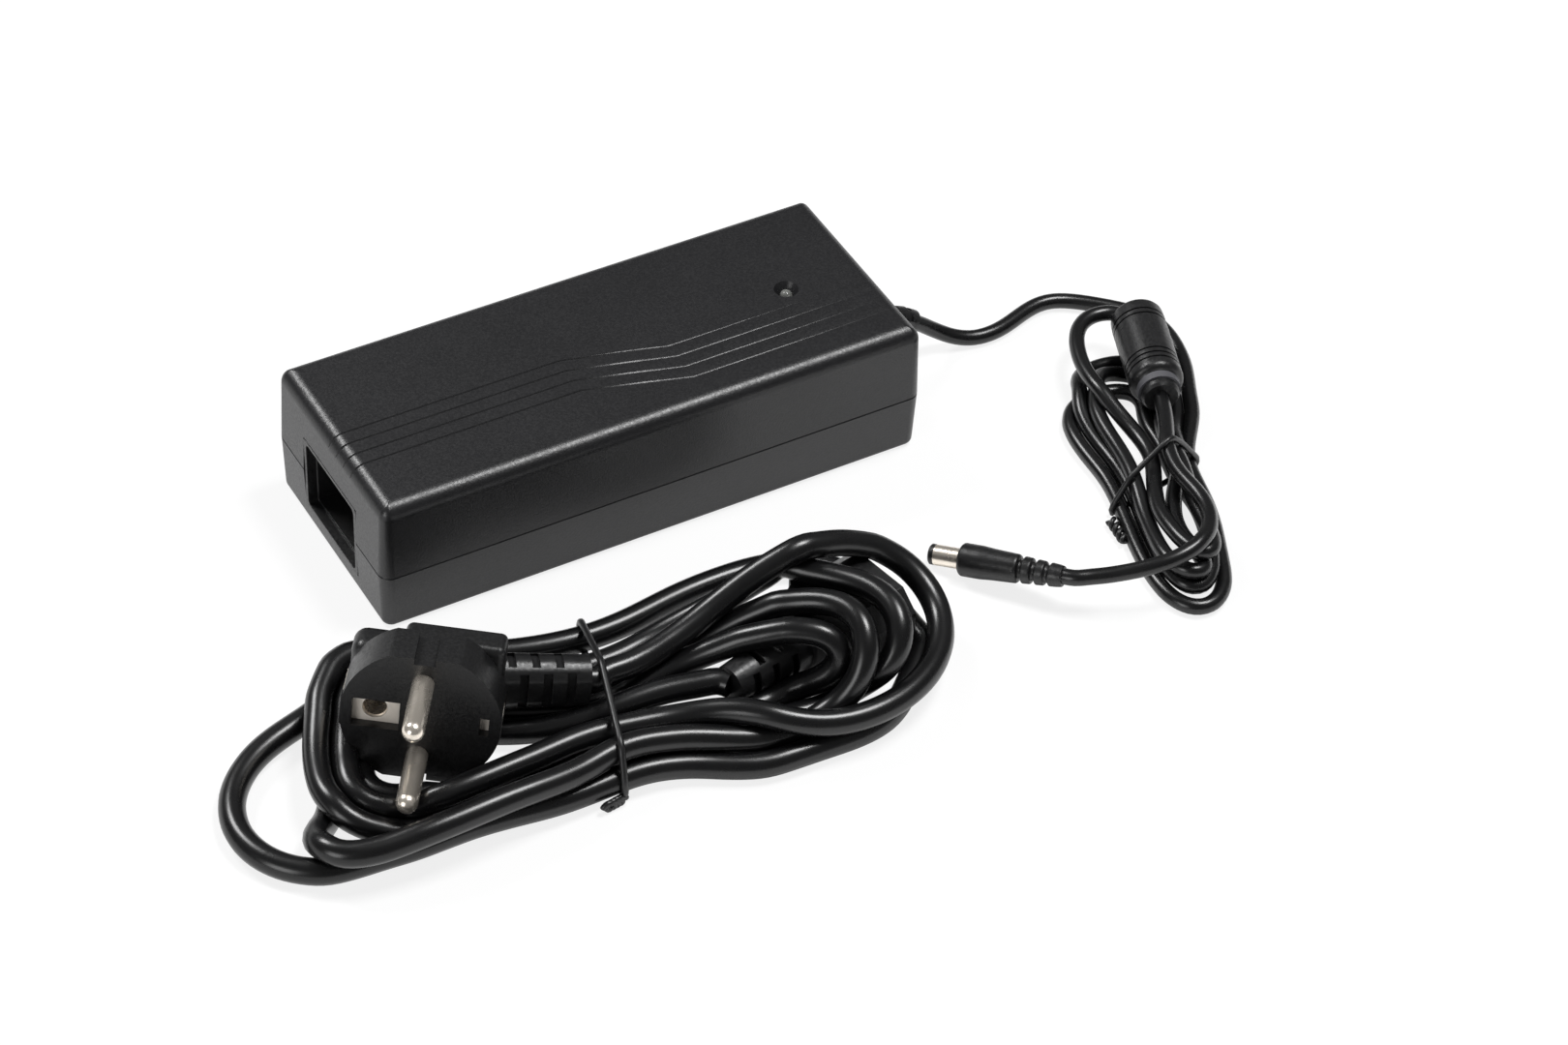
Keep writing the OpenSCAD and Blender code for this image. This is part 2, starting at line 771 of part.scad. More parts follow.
// Earth strip: two plates in the face, bent back along both sides, joined behind the bridge
module strip_form() {
    difference() {
        union() {
            block(-3.2, -17, -3.6, -2.4, -1.2, 3.6);
            block(-3.2, 12.6, -2.3, -2.4, 17, 2.3);
            block(-11.4, -17, -3.6, -2.4, -16.2, 3.6);
            block(-11.4, 16.2, -2.3, -2.4, 17, 2.3);
            block(-11.4, -17, -3.6, -10.6, -4, 3.6);
            block(-11.4, -4.1, -2.3, -10.6, 17, 2.3);
        }
        translate([-4, -10, 0])
            rotate([0, 90, 0])
                cylinder(r = 2.7, h = 3);
        translate([-13, -10, 0])
            rotate([0, 90, 0])
                cylinder(r = 3.2, h = 5);
    }
}
module socket_form() {
    translate([-18, -10, 0])
        rotate([0, 90, 0])
            difference() {
                cylinder(r = 3.2, h = 14.8);
                translate([0, 0, 1])
                    cylinder(r = 2.5, h = 20);
            }
}
module relief_frame() {
    translate([-16.8, 13.5, 0])
        rotate([0, 0, 90 + relief_a])
            children();
}
relief_l = 21;
// Soft back housing, rounded in all three views, with a wider curve on the side away from the cord
module back_housing() {
    intersection() {
        along_x(-plug_depth, -disc_t + 0.5)
            intersection() {
                polygon(rounded(-16.6, -back_h, 24, back_h, 6.5, 5));
                polygon(rounded(-26, -back_h, 14.6, back_h, 3, 3));
            }
        translate([0, 0, -20])
            linear_extrude(40)
                intersection() {
                    polygon(rounded(-plug_depth, -16.6, 5, 24, 6, 5));
                    polygon(rounded(-plug_depth, -26, 5, 14.6, 4, 4));
                }
        rotate([90, 0, 0])
            translate([0, 0, -20])
                linear_extrude(40)
                    polygon(rounded(-plug_depth, -back_h, 5, back_h, 5.5, 5));
    }
}
module relief_section(h, w) {
    rotate([90, 0, 90])
        linear_extrude(0.4)
            polygon(rounded(-w, -h, w, h, w - 0.6, 4));
}
module mains_plug_body() {
    color(soft_black)
        at_plug()
            difference() {
                union() {
                    difference() {
                        rotate([90, 0, 90])
                            translate([0, 0, -disc_t])
                                linear_extrude(disc_t)
                                    plug_outline();
                        for (s = [-1, 1])
                            guide_groove(s);
                    }
                    back_housing();
                    hull() {
                        relief_frame()
                            relief_section(6.4, 4.6);
                        relief_frame()
                            translate([relief_l - 0.4, 0, 0])
                                relief_section(5.6, 4.2);
                    }
                }
                plug_inserts();
                // windows in the face for the earth strip, and its channels down both sides
                block(-2.5, -18, -3.6, 1, -4.5, 3.6);
                block(-2.5, 12.6, -2.3, 1, 18, 2.3);
                block(-11.4, -18, -3.6, -2.4, -16.9, 3.6);
                block(-11.4, 16.9, -2.3, -2.4, 18, 2.3);
                // hollow of the earth socket, and the clear rim in front of it
                translate([-17, -10, 0])
                    rotate([0, 90, 0])
                        cylinder(r = 2.5, h = 20);
                translate([-3.2, -10, 0])
                    rotate([0, 90, 0])
                        cylinder(r = 2.75, h = 4);
                // slots that let the relief bend: across the front and back, and above and below
                relief_frame()
                    for (i = [0 : 2]) {
                        for (s = [-1, 1]) {
                            block(5.2 + 5.2 * i, s * 5 - 1.7, -4.4, 7.2 + 5.2 * i, s * 5 + 1.7, 4.4);
                            block(2.8 + 5.2 * i, -2.6, s * 6.4 - 1.6, 4.6 + 5.2 * i, 2.6, s * 6.4 + 1.6);
                        }
                    }
            }
}
module mains_plug_bridge() {
    color("#3a3a3c")
        at_plug()
            bridge_form();
}
module mains_line_pin() {
    color(nickel)
        at_plug()
            pin_form(1);
}
module mains_neutral_pin() {
    color(nickel)
        at_plug()
            pin_form(-1);
}
module mains_earth_strip() {
    color(nickel)
        at_plug()
            strip_form();
}
module mains_earth_socket() {
    color(nickel)
        at_plug()
            socket_form();
}

// ---- mains cord, connector and tie
// The plug frame's axes in the row frame, for the point where the cord leaves the relief
function spun(v, a) = let (c = cos(a[2]), s = sin(a[2]), p = tipped(v, a))
    [c * p[0] - s * p[1], s * p[0] + c * p[1], p[2]];
function tipped(v, a) = let (c = cos(a[1]), s = sin(a[1]), y = cos(a[0]) * v[1] - sin(a[0]) * v[2],
    z = sin(a[0]) * v[1] + cos(a[0]) * v[2]) [c * v[0] + s * z, y, c * z - s * v[0]];
relief_dir = [-sin(relief_a), cos(relief_a), 0];
cord_from = plug_at + spun([-16.8, 13.5, 0] + relief_l * relief_dir, plug_turn);
cord_dir = spun(relief_dir, plug_turn);
start_route = [cord_from, cord_from + 5 * cord_dir, [-29, -73, 10.6], [-20, -74.5, 9.6]];
module mains_cord_start() {
    color(cord_black)
        tube(start_route, ac_d, 12);
}
connector_at = [-13, -84.8, 8.9];   // middle of the connector relief's end face
connector_turn = 12;              // the connector points this far back from the row's +X
end_route = [connector_at, [-19, -86, 8.8], [-27, -85, 8]];
module mains_cord_end() {
    color(cord_black)
        tube(end_route, ac_d, 12);
}
module mains_hank_outline() {
    hull() {
        translate([-100, -70.5])
            circle(r = 26, $fn = 32);
        translate([-42, -72.3])
            circle(r = 24.5, $fn = 32);
    }
    hull() {
        translate([-42, -72.3])
            circle(r = 24.5, $fn = 32);
        translate([13, -78.5])
            circle(r = 31, $fn = 32);
    }
}
module mains_cord_hank() {
    color(cord_black)
        difference() {
            union() {
                linear_extrude(ac_d + 0.2)
                    mains_hank_outline();
                // second layer of turns, right of the plug's strain relief
                linear_extrude(2 * ac_d)
                    intersection() {
                        mains_hank_outline();
                        translate([-37.5, -150])
                            square([120, 150]);
                    }
            }
            // room for the plug among the left loops and for the connector among the right ones
            translate([plug_at[0], plug_at[1], -1])
                rotate([0, 0, plug_turn[2]]) {
                    block(-plug_depth - 3, -16, 0, 1.6, 16.4, 20);
                    block(0, -3.6, 0, 14, 3.6, 20);
                }
            translate([0, 0, -10])
                at_connector()
                    linear_extrude(20)
                        polygon(rounded(-0.4, -13.4, conn_face + 1, 13.4, 2, 3));
            mains_tie_loop();
        }
}
module mains_tie_loop() {
    translate([-38.6, -74.2, 0])
        rotate([0, 0, -16.6])
            tie_ring(47, 14.4, 1.7);
}
module mains_cord_tie() {
    color("#101012")
        mains_tie_loop();
}

// Connector frame: +X toward the open face, from the end of its strain relief
conn_root = 19.5;   // where the handle begins
conn_nose = 28;     // where the nose begins
conn_face = 44;     // the open face
module at_connector() {
    translate(connector_at)
        rotate([0, 0, connector_turn])
            children();
}
module connector_slots() {
    for (y = [-blade_pitch / 2, 0, blade_pitch / 2])
        block(conn_face - 16, y - 1.9, y == 0 ? -0.4 : -4.4, conn_face + 1, y + 1.9, y == 0 ? 4.6 : 0.6);
}
module mains_connector_body() {
    color(soft_black)
        at_connector()
            difference() {
                union() {
                    intersection() {
                        along_x(conn_root, conn_nose)
                            polygon(rounded(-13, -7.6, 13, 7.6, 3, 4));
                        translate([0, 0, -10])
                            linear_extrude(20)
                                polygon([[conn_root, -6.6], [conn_root + 3, -8], [conn_nose - 2.5, -9.4],
                                    [conn_nose, -12.6], [conn_nose, 12.6], [conn_nose - 2.5, 9.4],
                                    [conn_root + 3, 8], [conn_root, 6.6]]);
                    }
                    along_x(conn_nose - 0.1, conn_face)
                        polygon(bevelled(recess_w / 2 - 0.25, 0.25 - recess_h / 2,
                            recess_h / 2 - 0.25, 4.6));
                    hull() {
                        translate([conn_root - 0.2, 0, 0])
                            relief_section(5.8, 5.6);
                        relief_section(4.3, 4.1);
                    }
                }
                connector_slots();
                for (i = [0 : 2])
                    for (s = [-1, 1]) {
                        block(3.6 + 5.2 * i, s * 5.2 - 2, -3.2, 5.4 + 5.2 * i, s * 5.2 + 2, 3.2);
                        block(6.2 + 5.2 * i, -2.8, s * 5.3 - 2, 7.8 + 5.2 * i, 2.8, s * 5.3 + 2);
                    }
            }
}
// Spring contact: a folded sleeve that grips a blade
module contact(y, z) {
    color(nickel)
        at_connector()
            difference() {
                block(conn_face - 16, y - 1.9, z - 2.5, conn_face - 3, y + 1.9, z + 2.5);
                block(conn_face - 15, y - 1.05, z - 2.1, conn_face, y + 1.05, z + 2.1);
            }
}
module connector_earth_contact() {
    contact(0, 2.1);
}
module connector_line_contact() {
    contact(-blade_pitch / 2, -1.9);
}
module connector_neutral_contact() {
    contact(blade_pitch / 2, -1.9);
}

bottom_cover();
top_cover();
mains_inlet();
inlet_earth_blade();
inlet_line_blade();
inlet_neutral_blade();
circuit_board();
mains_fuse();
x_capacitor();
common_choke_core();
common_choke_windings();
bridge_rectifier();
bulk_capacitor();
primary_heatsink();
power_transistor();
transformer_core();
transformer_bobbin();
transformer_winding();
safety_capacitor();
optocoupler();
controller_ic();
secondary_heatsink();
output_rectifier();
output_choke_core();
output_choke_winding();
output_capacitor_1();
output_capacitor_2();
insulation_sheet();
emi_shield();
status_led();
output_lead_positive();
output_lead_negative();
cord_strain_relief();
dc_cord_lead();
dc_cord_hank();
dc_cord_tail();
ferrite_core();
ferrite_case();
dc_plug_grip();
dc_plug_sleeve();
dc_plug_insulator();
dc_plug_contact();
dc_cord_tie();
mains_plug_body();
mains_plug_bridge();
mains_line_pin();
mains_neutral_pin();
mains_earth_strip();
mains_earth_socket();
mains_cord_start();
mains_cord_hank();
mains_cord_end();
mains_connector_body();
connector_earth_contact();
connector_line_contact();
connector_neutral_contact();
mains_cord_tie();
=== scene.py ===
"""Laptop power adapter with its mains lead and low-voltage cord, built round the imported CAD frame.

The file is laid out as a Blender add-on: settings that a user would change, one operator for each
piece or group of like pieces, one for the stage, and a panel in the 3D view's sidebar that lists them.
Lengths are in millimetres in this file and turned to metres where a mesh is written.
"""

import json
import math

import bmesh
import bpy
import numpy as np
from mathutils import Euler, Matrix, Vector
from mathutils.bvhtree import BVHTree


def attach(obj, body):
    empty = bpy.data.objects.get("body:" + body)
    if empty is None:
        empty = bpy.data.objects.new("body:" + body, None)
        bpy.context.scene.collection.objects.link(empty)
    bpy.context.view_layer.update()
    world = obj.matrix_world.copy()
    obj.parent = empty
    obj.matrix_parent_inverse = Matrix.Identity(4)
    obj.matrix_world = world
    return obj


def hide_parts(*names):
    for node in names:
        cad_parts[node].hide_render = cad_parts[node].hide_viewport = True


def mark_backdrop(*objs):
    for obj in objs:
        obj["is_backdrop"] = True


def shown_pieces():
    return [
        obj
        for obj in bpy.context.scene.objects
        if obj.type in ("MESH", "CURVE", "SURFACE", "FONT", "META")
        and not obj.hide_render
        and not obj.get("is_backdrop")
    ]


bl_info = {
    "name": "Laptop power adapter",
    "version": (1, 0, 0),
    "blender": (4, 5, 0),
    "location": "3D View > Sidebar > Adapter",
    "description": "Builds a laptop power adapter with its coiled mains lead and low-voltage cord",
    "category": "Add Mesh",
}

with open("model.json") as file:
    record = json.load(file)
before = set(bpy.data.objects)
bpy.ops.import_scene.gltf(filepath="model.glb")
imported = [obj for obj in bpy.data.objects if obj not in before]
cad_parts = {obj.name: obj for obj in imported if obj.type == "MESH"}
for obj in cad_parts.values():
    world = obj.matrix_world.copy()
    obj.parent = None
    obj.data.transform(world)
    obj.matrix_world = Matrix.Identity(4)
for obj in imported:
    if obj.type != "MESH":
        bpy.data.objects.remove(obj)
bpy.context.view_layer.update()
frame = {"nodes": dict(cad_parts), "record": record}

MM = 0.001
SEEN, UNSEEN = 1.0, 0.35   # how strongly a route's point holds its cord: in view, or out of sight

# ---- places shared with the CAD source, in millimetres
PLUG_AT = Vector((-81.2, -72, 18.2))
PLUG_TURN = Euler([math.radians(a) for a in (-4, -9, -123)]).to_matrix()
PLUG_RELIEF = Vector((-16.8, 13.5, 0))     # root of the mains plug's strain relief, in the plug's frame
PLUG_RELIEF_DIR = Vector((-math.sin(math.radians(14)), math.cos(math.radians(14)), 0))
PLUG_RELIEF_L = 21
PIN_PLACES, PIN_L, PIN_CLEAR = (-9.5, 9.5), 16.6, 2.45   # last: the radius that cords keep off
CONNECTOR_AT = Vector((-13, -84.8, 8.9))
CONNECTOR_TURN = Matrix.Rotation(math.radians(12), 3, "Z")
FERRITE_AT = Vector((126.9, -35.9, 10.3))
FERRITE_TURN = Matrix.Rotation(math.radians(-110.9), 3, "Z")
FERRITE_L, FERRITE_R, FERRITE_BORE = 29.2, 6.5, 2.0
DC_TIP = Vector((50.9, -63.7, 2.6))
DC_AIM = Euler([math.radians(a) for a in (0, 79.6, -52.4)]).to_matrix()   # turns +Z onto the plug's axis
DC_PLUG_L = 32.3

# ---- the cords' routes, one run after another from the near end to the far end
MAINS_ROUTE = [
    (SEEN, [(-41.5, -72.5, 12.5), (-38.5, -73.5, 12), (-37.5, -72, 12.5), (-32.5, -73, 12.5),
        (-23, -72, 13.5), (-14, -70.5, 16), (-3.5, -68.5, 19), (3.5, -68, 21.5), (9.5, -68.5, 23),
        (16.5, -69, 23.5), (22, -68.5, 22.5), (30, -69.5, 19), (37.5, -74, 14), (39.5, -83, 10),
        (35, -94, 9), (25.5, -102.5, 9), (13, -106.5, 9), (0, -105, 9), (-12.5, -97, 9),
        (-24.5, -90, 9), (-34.5, -88, 8.5), (-40, -86, 8.5), (-46.5, -82.5, 6.5), (-58, -83.5, 6),
        (-64.5, -83, 6), (-72, -83.5, 6), (-78, -83.5, 6), (-84.5, -84, 6.5), (-90.5, -83.5, 7.5),
        (-96, -82.5, 8.5), (-98, -79, 9), (-99, -74.5, 8.5), (-98.5, -70, 8), (-96.5, -66, 7.5),
        (-94.5, -63, 7)]),
    (UNSEEN, [(-91, -56.5, 7.5), (-85.5, -53, 8.5), (-78.5, -49.5, 9), (-70, -48.5, 8.5),
        (-61.5, -50, 5.5), (-54, -53, 3), (-35, -62, 3), (-20, -59.5, 3.5), (-9, -61, 7.5)]),
    (SEEN, [(5, -63.5, 13), (11, -68, 17), (15, -74, 20), (20.5, -79.5, 21), (23, -86, 22),
        (23, -93.5, 22), (21.5, -98, 20), (18, -100.5, 15), (11.5, -96.5, 8.5), (3, -94.5, 4),
        (-13.5, -95.5, 3), (-20, -92.5, 3), (-28, -90.5, 3), (-38, -87.5, 3), (-47.5, -86.5, 3),
        (-59, -88, 3), (-69.5, -88.5, 3), (-80.5, -88.5, 3), (-92, -88, 4), (-97.5, -85, 5.5),
        (-101, -84.5, 7.5), (-104, -81, 9), (-104.5, -74.5, 9), (-102.5, -68, 8.5), (-100.5, -64, 8),
        (-97.5, -60.5, 7.5), (-94.5, -58.5, 8)]),
    (UNSEEN, [(-91, -50.5, 9), (-85.5, -45.5, 9.5), (-76.5, -42.5, 9), (-67, -42.5, 6.5),
        (-59, -44.5, 4)]),
    (SEEN, [(-51, -48.5, 3), (-42, -50.5, 3), (-33, -52.5, 3), (-26.5, -52.5, 3), (-22, -52.5, 3),
        (-7, -50, 3), (7, -50, 3), (14, -50.5, 3), (20.5, -52.5, 3), (27, -56.5, 3), (31.5, -62.5, 3),
        (33.5, -69.5, 3), (34.5, -77, 3), (33.5, -83, 3), (31, -89, 3), (26, -96, 3),
        (20.5, -101.5, 3), (14, -105.5, 3), (5, -105.5, 3), (-6.5, -104.5, 3), (-19, -100.5, 3),
        (-31, -95, 3), (-41, -92.5, 3), (-46.5, -94, 3), (-62.5, -92, 3), (-72, -91, 3),
        (-87, -90.5, 3), (-99.5, -90.5, 3), (-109, -90, 3), (-112.5, -89.5, 3), (-117.5, -85.5, 3),
        (-122, -79.5, 3), (-123.5, -72, 3), (-121.5, -63, 3), (-116.5, -56.5, 3), (-108, -50.5, 3),
        (-98, -48, 3), (-91, -49.5, 4)]),
    (UNSEEN, [(-83, -47.5, 3), (-75, -48, 3), (-65, -53.5, 3), (-57.5, -58, 3), (-37, -68, 3)]),
    (SEEN, [(-30.5, -69.5, 3.5), (-20.5, -69.5, 6), (-8, -70.5, 10.5), (0.5, -73.5, 15),
        (7.5, -79, 19.5), (13, -84.5, 21.5), (15, -89.5, 22), (14, -95, 22), (11.5, -98.5, 19)]),
    (UNSEEN, [(8, -98, 10), (-4, -97, 4), (-20, -94.5, 5), (-43, -89, 8)]),
    (SEEN, [(-52, -93, 8), (-63, -93, 8), (-73, -93, 8), (-88.5, -93.5, 8), (-99.5, -93, 8),
        (-108, -92, 8), (-111, -89.5, 8), (-111.5, -84, 7), (-109, -79.5, 5), (-105, -77, 3)]),
    (UNSEEN, [(-99.5, -69.5, 3), (-99, -62, 3), (-96, -55.5, 3), (-88.5, -52, 3), (-79.5, -52, 3),
        (-69, -59, 3), (-60.5, -63, 3), (-38.5, -73.5, 3)]),
    (SEEN, [(-32.5, -73.5, 4.5), (-22.5, -72.5, 7), (-14, -76, 11), (-7, -80.5, 16), (1, -85, 19),
        (6, -88, 19.5), (9.5, -92.5, 19), (9, -96.5, 17), (6.5, -96, 12), (3, -93, 7), (-2.5, -90, 4),
        (-11, -87, 3)]),
    (UNSEEN, [(-19, -91, 3), (-42.5, -86.5, 3), (-58, -86.5, 3), (-72, -87.5, 3), (-84, -84.5, 3),
        (-90.5, -77, 3), (-93, -70, 3), (-93, -61, 3), (-89.5, -57, 3), (-83, -56, 3), (-70, -65, 3),
        (-63.5, -68, 3), (-54, -73, 3.5), (-40, -78, 7)]),
    (SEEN, [(-29, -78.5, 8), (-20.5, -81.5, 9), (-14.5, -83, 9), (-13, -85, 9)]),
]

DC_ROUTE = [
    (SEEN, [(83, 0, 11), (85, 0, 9.5), (88, 0, 7.5), (91.5, -0.5, 4.5), (95.5, -2, 2.5), (98.5, -3, 2),
        (103.5, -4, 2), (121.5, 1, 2), (127, -2, 2), (131.5, -6, 2), (138, -12, 2), (141.5, -17.5, 2),
        (141, -26.5, 2), (139, -34.5, 2), (134.5, -42.5, 2), (127.5, -51.5, 2), (123.5, -58, 2),
        (119.5, -66.5, 2)]),
    (UNSEEN, [(117, -76, 2), (114, -85.5, 2)]),
    (SEEN, [(109, -95, 2), (106.5, -100.5, 2), (102, -105, 2), (98, -106.5, 2), (95, -105.5, 2),
        (93, -101, 2), (93, -95.5, 2), (94, -89, 2), (96, -81, 2), (98.5, -73, 2), (100.5, -66, 2),
        (101, -59.5, 2), (101, -51, 2), (103.5, -40, 2), (106, -37.5, 2)]),
    (UNSEEN, [(104.5, -37.5, 2), (109, -36, 2), (114.5, -35.5, 2), (120, -36.5, 2), (124, -40, 2),
        (125, -45.5, 2), (121.5, -52, 2), (118.5, -58, 2.5), (116, -65, 4), (114, -77, 4),
        (111, -85, 4.5), (106.5, -94.5, 5)]),
    (SEEN, [(102.5, -100, 5), (99, -102.5, 5), (96.5, -103, 5), (95.5, -100.5, 5), (95, -97, 5),
        (95.5, -90.5, 4), (97.5, -83, 3), (99.5, -76, 3), (101, -69.5, 4), (104.5, -57, 4),
        (104.5, -49.5, 4), (106, -40.5, 4.5), (107, -37.5, 5.5), (110, -35.5, 6)]),
    (UNSEEN, [(110, -31, 5), (113.5, -28, 3.5), (119, -26, 2), (125.5, -27, 2), (130.5, -30.5, 2),
        (132, -36, 2), (131, -42, 2), (127, -48.5, 2), (121.5, -56, 4.5), (117.5, -64, 6),
        (108.5, -76, 7), (102.5, -86.5, 7.5), (100.5, -93, 8), (102.5, -97, 8.5)]),
    (SEEN, [(102, -100, 8), (98.5, -101.5, 8), (96.5, -100, 8), (95, -96.5, 8), (95.5, -90.5, 7.5),
        (97.5, -83.5, 6.5), (100, -76, 6), (102, -70.5, 7), (105.5, -58, 6), (107, -47.5, 6.5),
        (108.5, -41, 7.5), (111.5, -37.5, 7), (114.5, -34.5, 6.5)]),
    (UNSEEN, [(115, -31.5, 5), (119, -30, 3), (124, -31, 2), (127.5, -34.5, 2), (128, -39.5, 2),
        (126, -45, 2.5), (122, -51.5, 5), (117.5, -59, 8), (114, -66, 9.5)]),
    (SEEN, [(104, -98.5, 11), (100.5, -100.5, 11.5), (100, -98, 11), (99.5, -93.5, 11),
        (99.5, -87.5, 10.5), (101, -80, 9.5), (104.5, -73, 8.5), (110.5, -63, 8), (111, -57.5, 8),
        (111, -49.5, 8.5), (110, -41.5, 10), (111.5, -31.5, 10), (114.5, -24, 10), (118.5, -18.5, 10),
        (124, -16.5, 10), (128.5, -18, 10), (131, -22, 10.5), (132, -22.5, 10.5), (127, -36, 10.5),
        (121.5, -49.5, 10.5), (120, -53.5, 10.5), (114, -65, 10), (111.5, -71, 10.5), (110.5, -78, 11),
        (109.5, -86, 12), (106.5, -92.5, 13), (101, -98, 14), (95.5, -99.5, 14), (89.5, -99.5, 13.5),
        (84, -97, 11.5), (79.5, -94, 9.5), (74, -91.5, 9), (72, -91, 9), (70.5, -89, 8.5)]),
]


# ---- materials
NOISE_SPAN = (0.3, 0.7)           # the part of the noise's range that is used
BLEND_SIZE, LENS_SIZE = 14, 1.5   # millimetres across a change of shade, and of the lens's clearness


def linear(code):
    """An sRGB hex colour as the linear values that shaders take."""
    parts = [int(code[k:k + 2], 16) / 255 for k in (1, 3, 5)]
    return [p / 12.92 if p <= 0.04045 else ((p + 0.055) / 1.055) ** 2.4 for p in parts] + [1.0]


def wire(tree, node, inputs):
    """Sets a node's inputs, or links them where the value is another node's output."""
    for key, value in inputs.items():
        if isinstance(value, bpy.types.NodeSocket):
            tree.links.new(value, node.inputs[key])
        else:
            node.inputs[key].default_value = value


def add(tree, kind, inputs=None, **settings):
    """Adds a shader node, sets its properties, and sets or links its inputs."""
    made = tree.nodes.new("ShaderNode" + kind)
    for key, value in settings.items():
        setattr(made, key, value)
    wire(tree, made, inputs or {})
    return made


def blank_tree(owner):
    """The emptied node tree of a material or a world."""
    owner.use_nodes = True
    owner.node_tree.nodes.clear()
    return owner.node_tree


def new_tree(name):
    """A new material, its node tree and its shader, joined to the output."""
    material = bpy.data.materials.new(name)
    tree = blank_tree(material)
    shader = add(tree, "BsdfPrincipled")
    add(tree, "OutputMaterial", {"Surface": shader.outputs["BSDF"]})
    return material, tree, shader


def ranged(value, from_low, from_high, low, high):
    """The inputs of a Map Range node."""
    return {"Value": value, "From Min": from_low, "From Max": from_high, "To Min": low, "To Max": high}


def wandering(tree, size, low, high):
    """Noise whose features are about size millimetres across, and the same noise spread over a range.
    Object coordinates are the row's own metres for every piece here."""
    at = add(tree, "TexCoord").outputs["Object"]
    fine = add(tree, "TexNoise", {"Vector": at, "Scale": 1 / (size * MM)}).outputs["Fac"]
    return fine, add(tree, "MapRange", ranged(fine, *NOISE_SPAN, low, high)).outputs["Result"]


def bumped(tree, value, height):
    """The shader input for a bump of height millimetres."""
    return {"Normal": add(tree, "Bump", {"Height": value, "Distance": height * MM}).outputs["Normal"]}


def grained_plastic(name, dark, light, rough, fleck, grain, height, ior=1.5):
    """Moulded plastic with a spark-eroded grain: noise in colour and roughness over a bump."""
    material, tree, shader = new_tree(name)
    _, blend = wandering(tree, BLEND_SIZE, 0, 1)
    colour = add(tree, "Mix", {0: blend, 6: linear(dark), 7: linear(light)}, data_type="RGBA")
    fine, roughness = wandering(tree, grain, rough - fleck, rough + fleck)
    wire(tree, shader, {"Base Color": colour.outputs[2], "Roughness": roughness, "IOR": ior,
                        **bumped(tree, fine, height)})
    return material


def smooth_surface(name, code, rough, metallic=0, size=3, change=0.04, height=0):
    """A smooth surface whose roughness wanders a little, with a slight bump where it has a height."""
    material, tree, shader = new_tree(name)
    fine, roughness = wandering(tree, size, rough - change, rough + change)
    wire(tree, shader, {"Base Color": linear(code), "Metallic": metallic, "Roughness": roughness})
    if height:
        wire(tree, shader, bumped(tree, fine, height))
    return material


def clear_lens(name, code, rough, ior, cloudy, clear):
    """A diffused lens, whose share of light let through wanders from cloudy to clear."""
    material, tree, shader = new_tree(name)
    wire(tree, shader, {"Base Color": linear(code), "Roughness": rough, "IOR": ior,
                        "Transmission Weight": wandering(tree, LENS_SIZE, cloudy, clear)[1]})
    return material


# How each material slot is made, what the real material is, and its numbers. Grains are drawn about
# twice as coarse as the real ones, which are finer than a pixel.
FINISHES = {
    # name, two shades, roughness and its change, grain and height of the bump in millimetres, IOR
    "housing_plastic": (grained_plastic, "matt_black_abs", "#121214", "#161618",
                        0.37, 0.06, 0.5, 0.035, 1.52),          # matt ABS, fine spark-eroded grain
    "moulded_pvc": (grained_plastic, "moulded_black_pvc", "#101011", "#141415",
                    0.38, 0.08, 0.7, 0.035),                    # the plugs' PVC, with a coarser speckle
    "cord_pvc": (grained_plastic, "black_cord_pvc", "#0a0a0b", "#0e0e0f",
                 0.28, 0.02, 6, 0.001),                         # satin extruded jacket
    # name, colour, roughness, metallic, size and amount of the change in roughness, height of the bump
    "tie_plastic": (smooth_surface, "black_tie_coating", "#141415", 0.38, 0, 2),   # coated wire, satin
    "satin_nickel": (smooth_surface, "satin_nickel", "#f6eee3", 0.5, 0.45, 6, 0.03),   # stamped strip
    "nickel_plate": (smooth_surface, "nickel_plate", "#f2e9dc", 0.27, 0.9, 6, 0.03),   # plated brass
    "board_laminate": (smooth_surface, "green_laminate", "#2f6b3c", 0.4, 0, 2),    # glass-epoxy, satin
    "ferrite": (smooth_surface, "grey_ferrite", "#4a4a4e", 0.6, 0, 1.5, 0.04, 0.02),   # sintered, dull
    "copper_wire": (smooth_surface, "enamelled_copper", "#b8703c", 0.35, 0.8),     # under clear enamel
    "copper_foil": (smooth_surface, "copper_foil", "#c47a45", 0.3, 1.0, 5),        # bare rolled shield
    "winding_tape": (smooth_surface, "yellow_tape", "#d8b93c", 0.35, 0, 4),        # polyester, satin
    "cream_nylon": (smooth_surface, "cream_nylon", "#d9d2c0", 0.45),               # moulded, half matt
    "aluminium_sheet": (smooth_surface, "aluminium_sheet", "#c4c6c9", 0.35, 1.0, 2),   # mill finish
    "capacitor_sleeve": (smooth_surface, "blue_sleeve", "#1f2d4d", 0.4, 0, 4),     # shrink sleeve
    "package_epoxy": (smooth_surface, "black_epoxy", "#202022", 0.5, 0, 1.5),      # moulded, matt
    "wire_red": (smooth_surface, "red_insulation", "#a8242a", 0.4),                # PVC insulation
    "wire_black": (smooth_surface, "black_insulation", "#1a1a1c", 0.4),            # PVC insulation
    # name, colour, roughness, IOR, least and most light let through
    "led_lens": (clear_lens, "clear_lens", "#8f918d", 0.12, 1.49, 0.45, 0.6),      # cast clear epoxy
}
made_finishes = {}


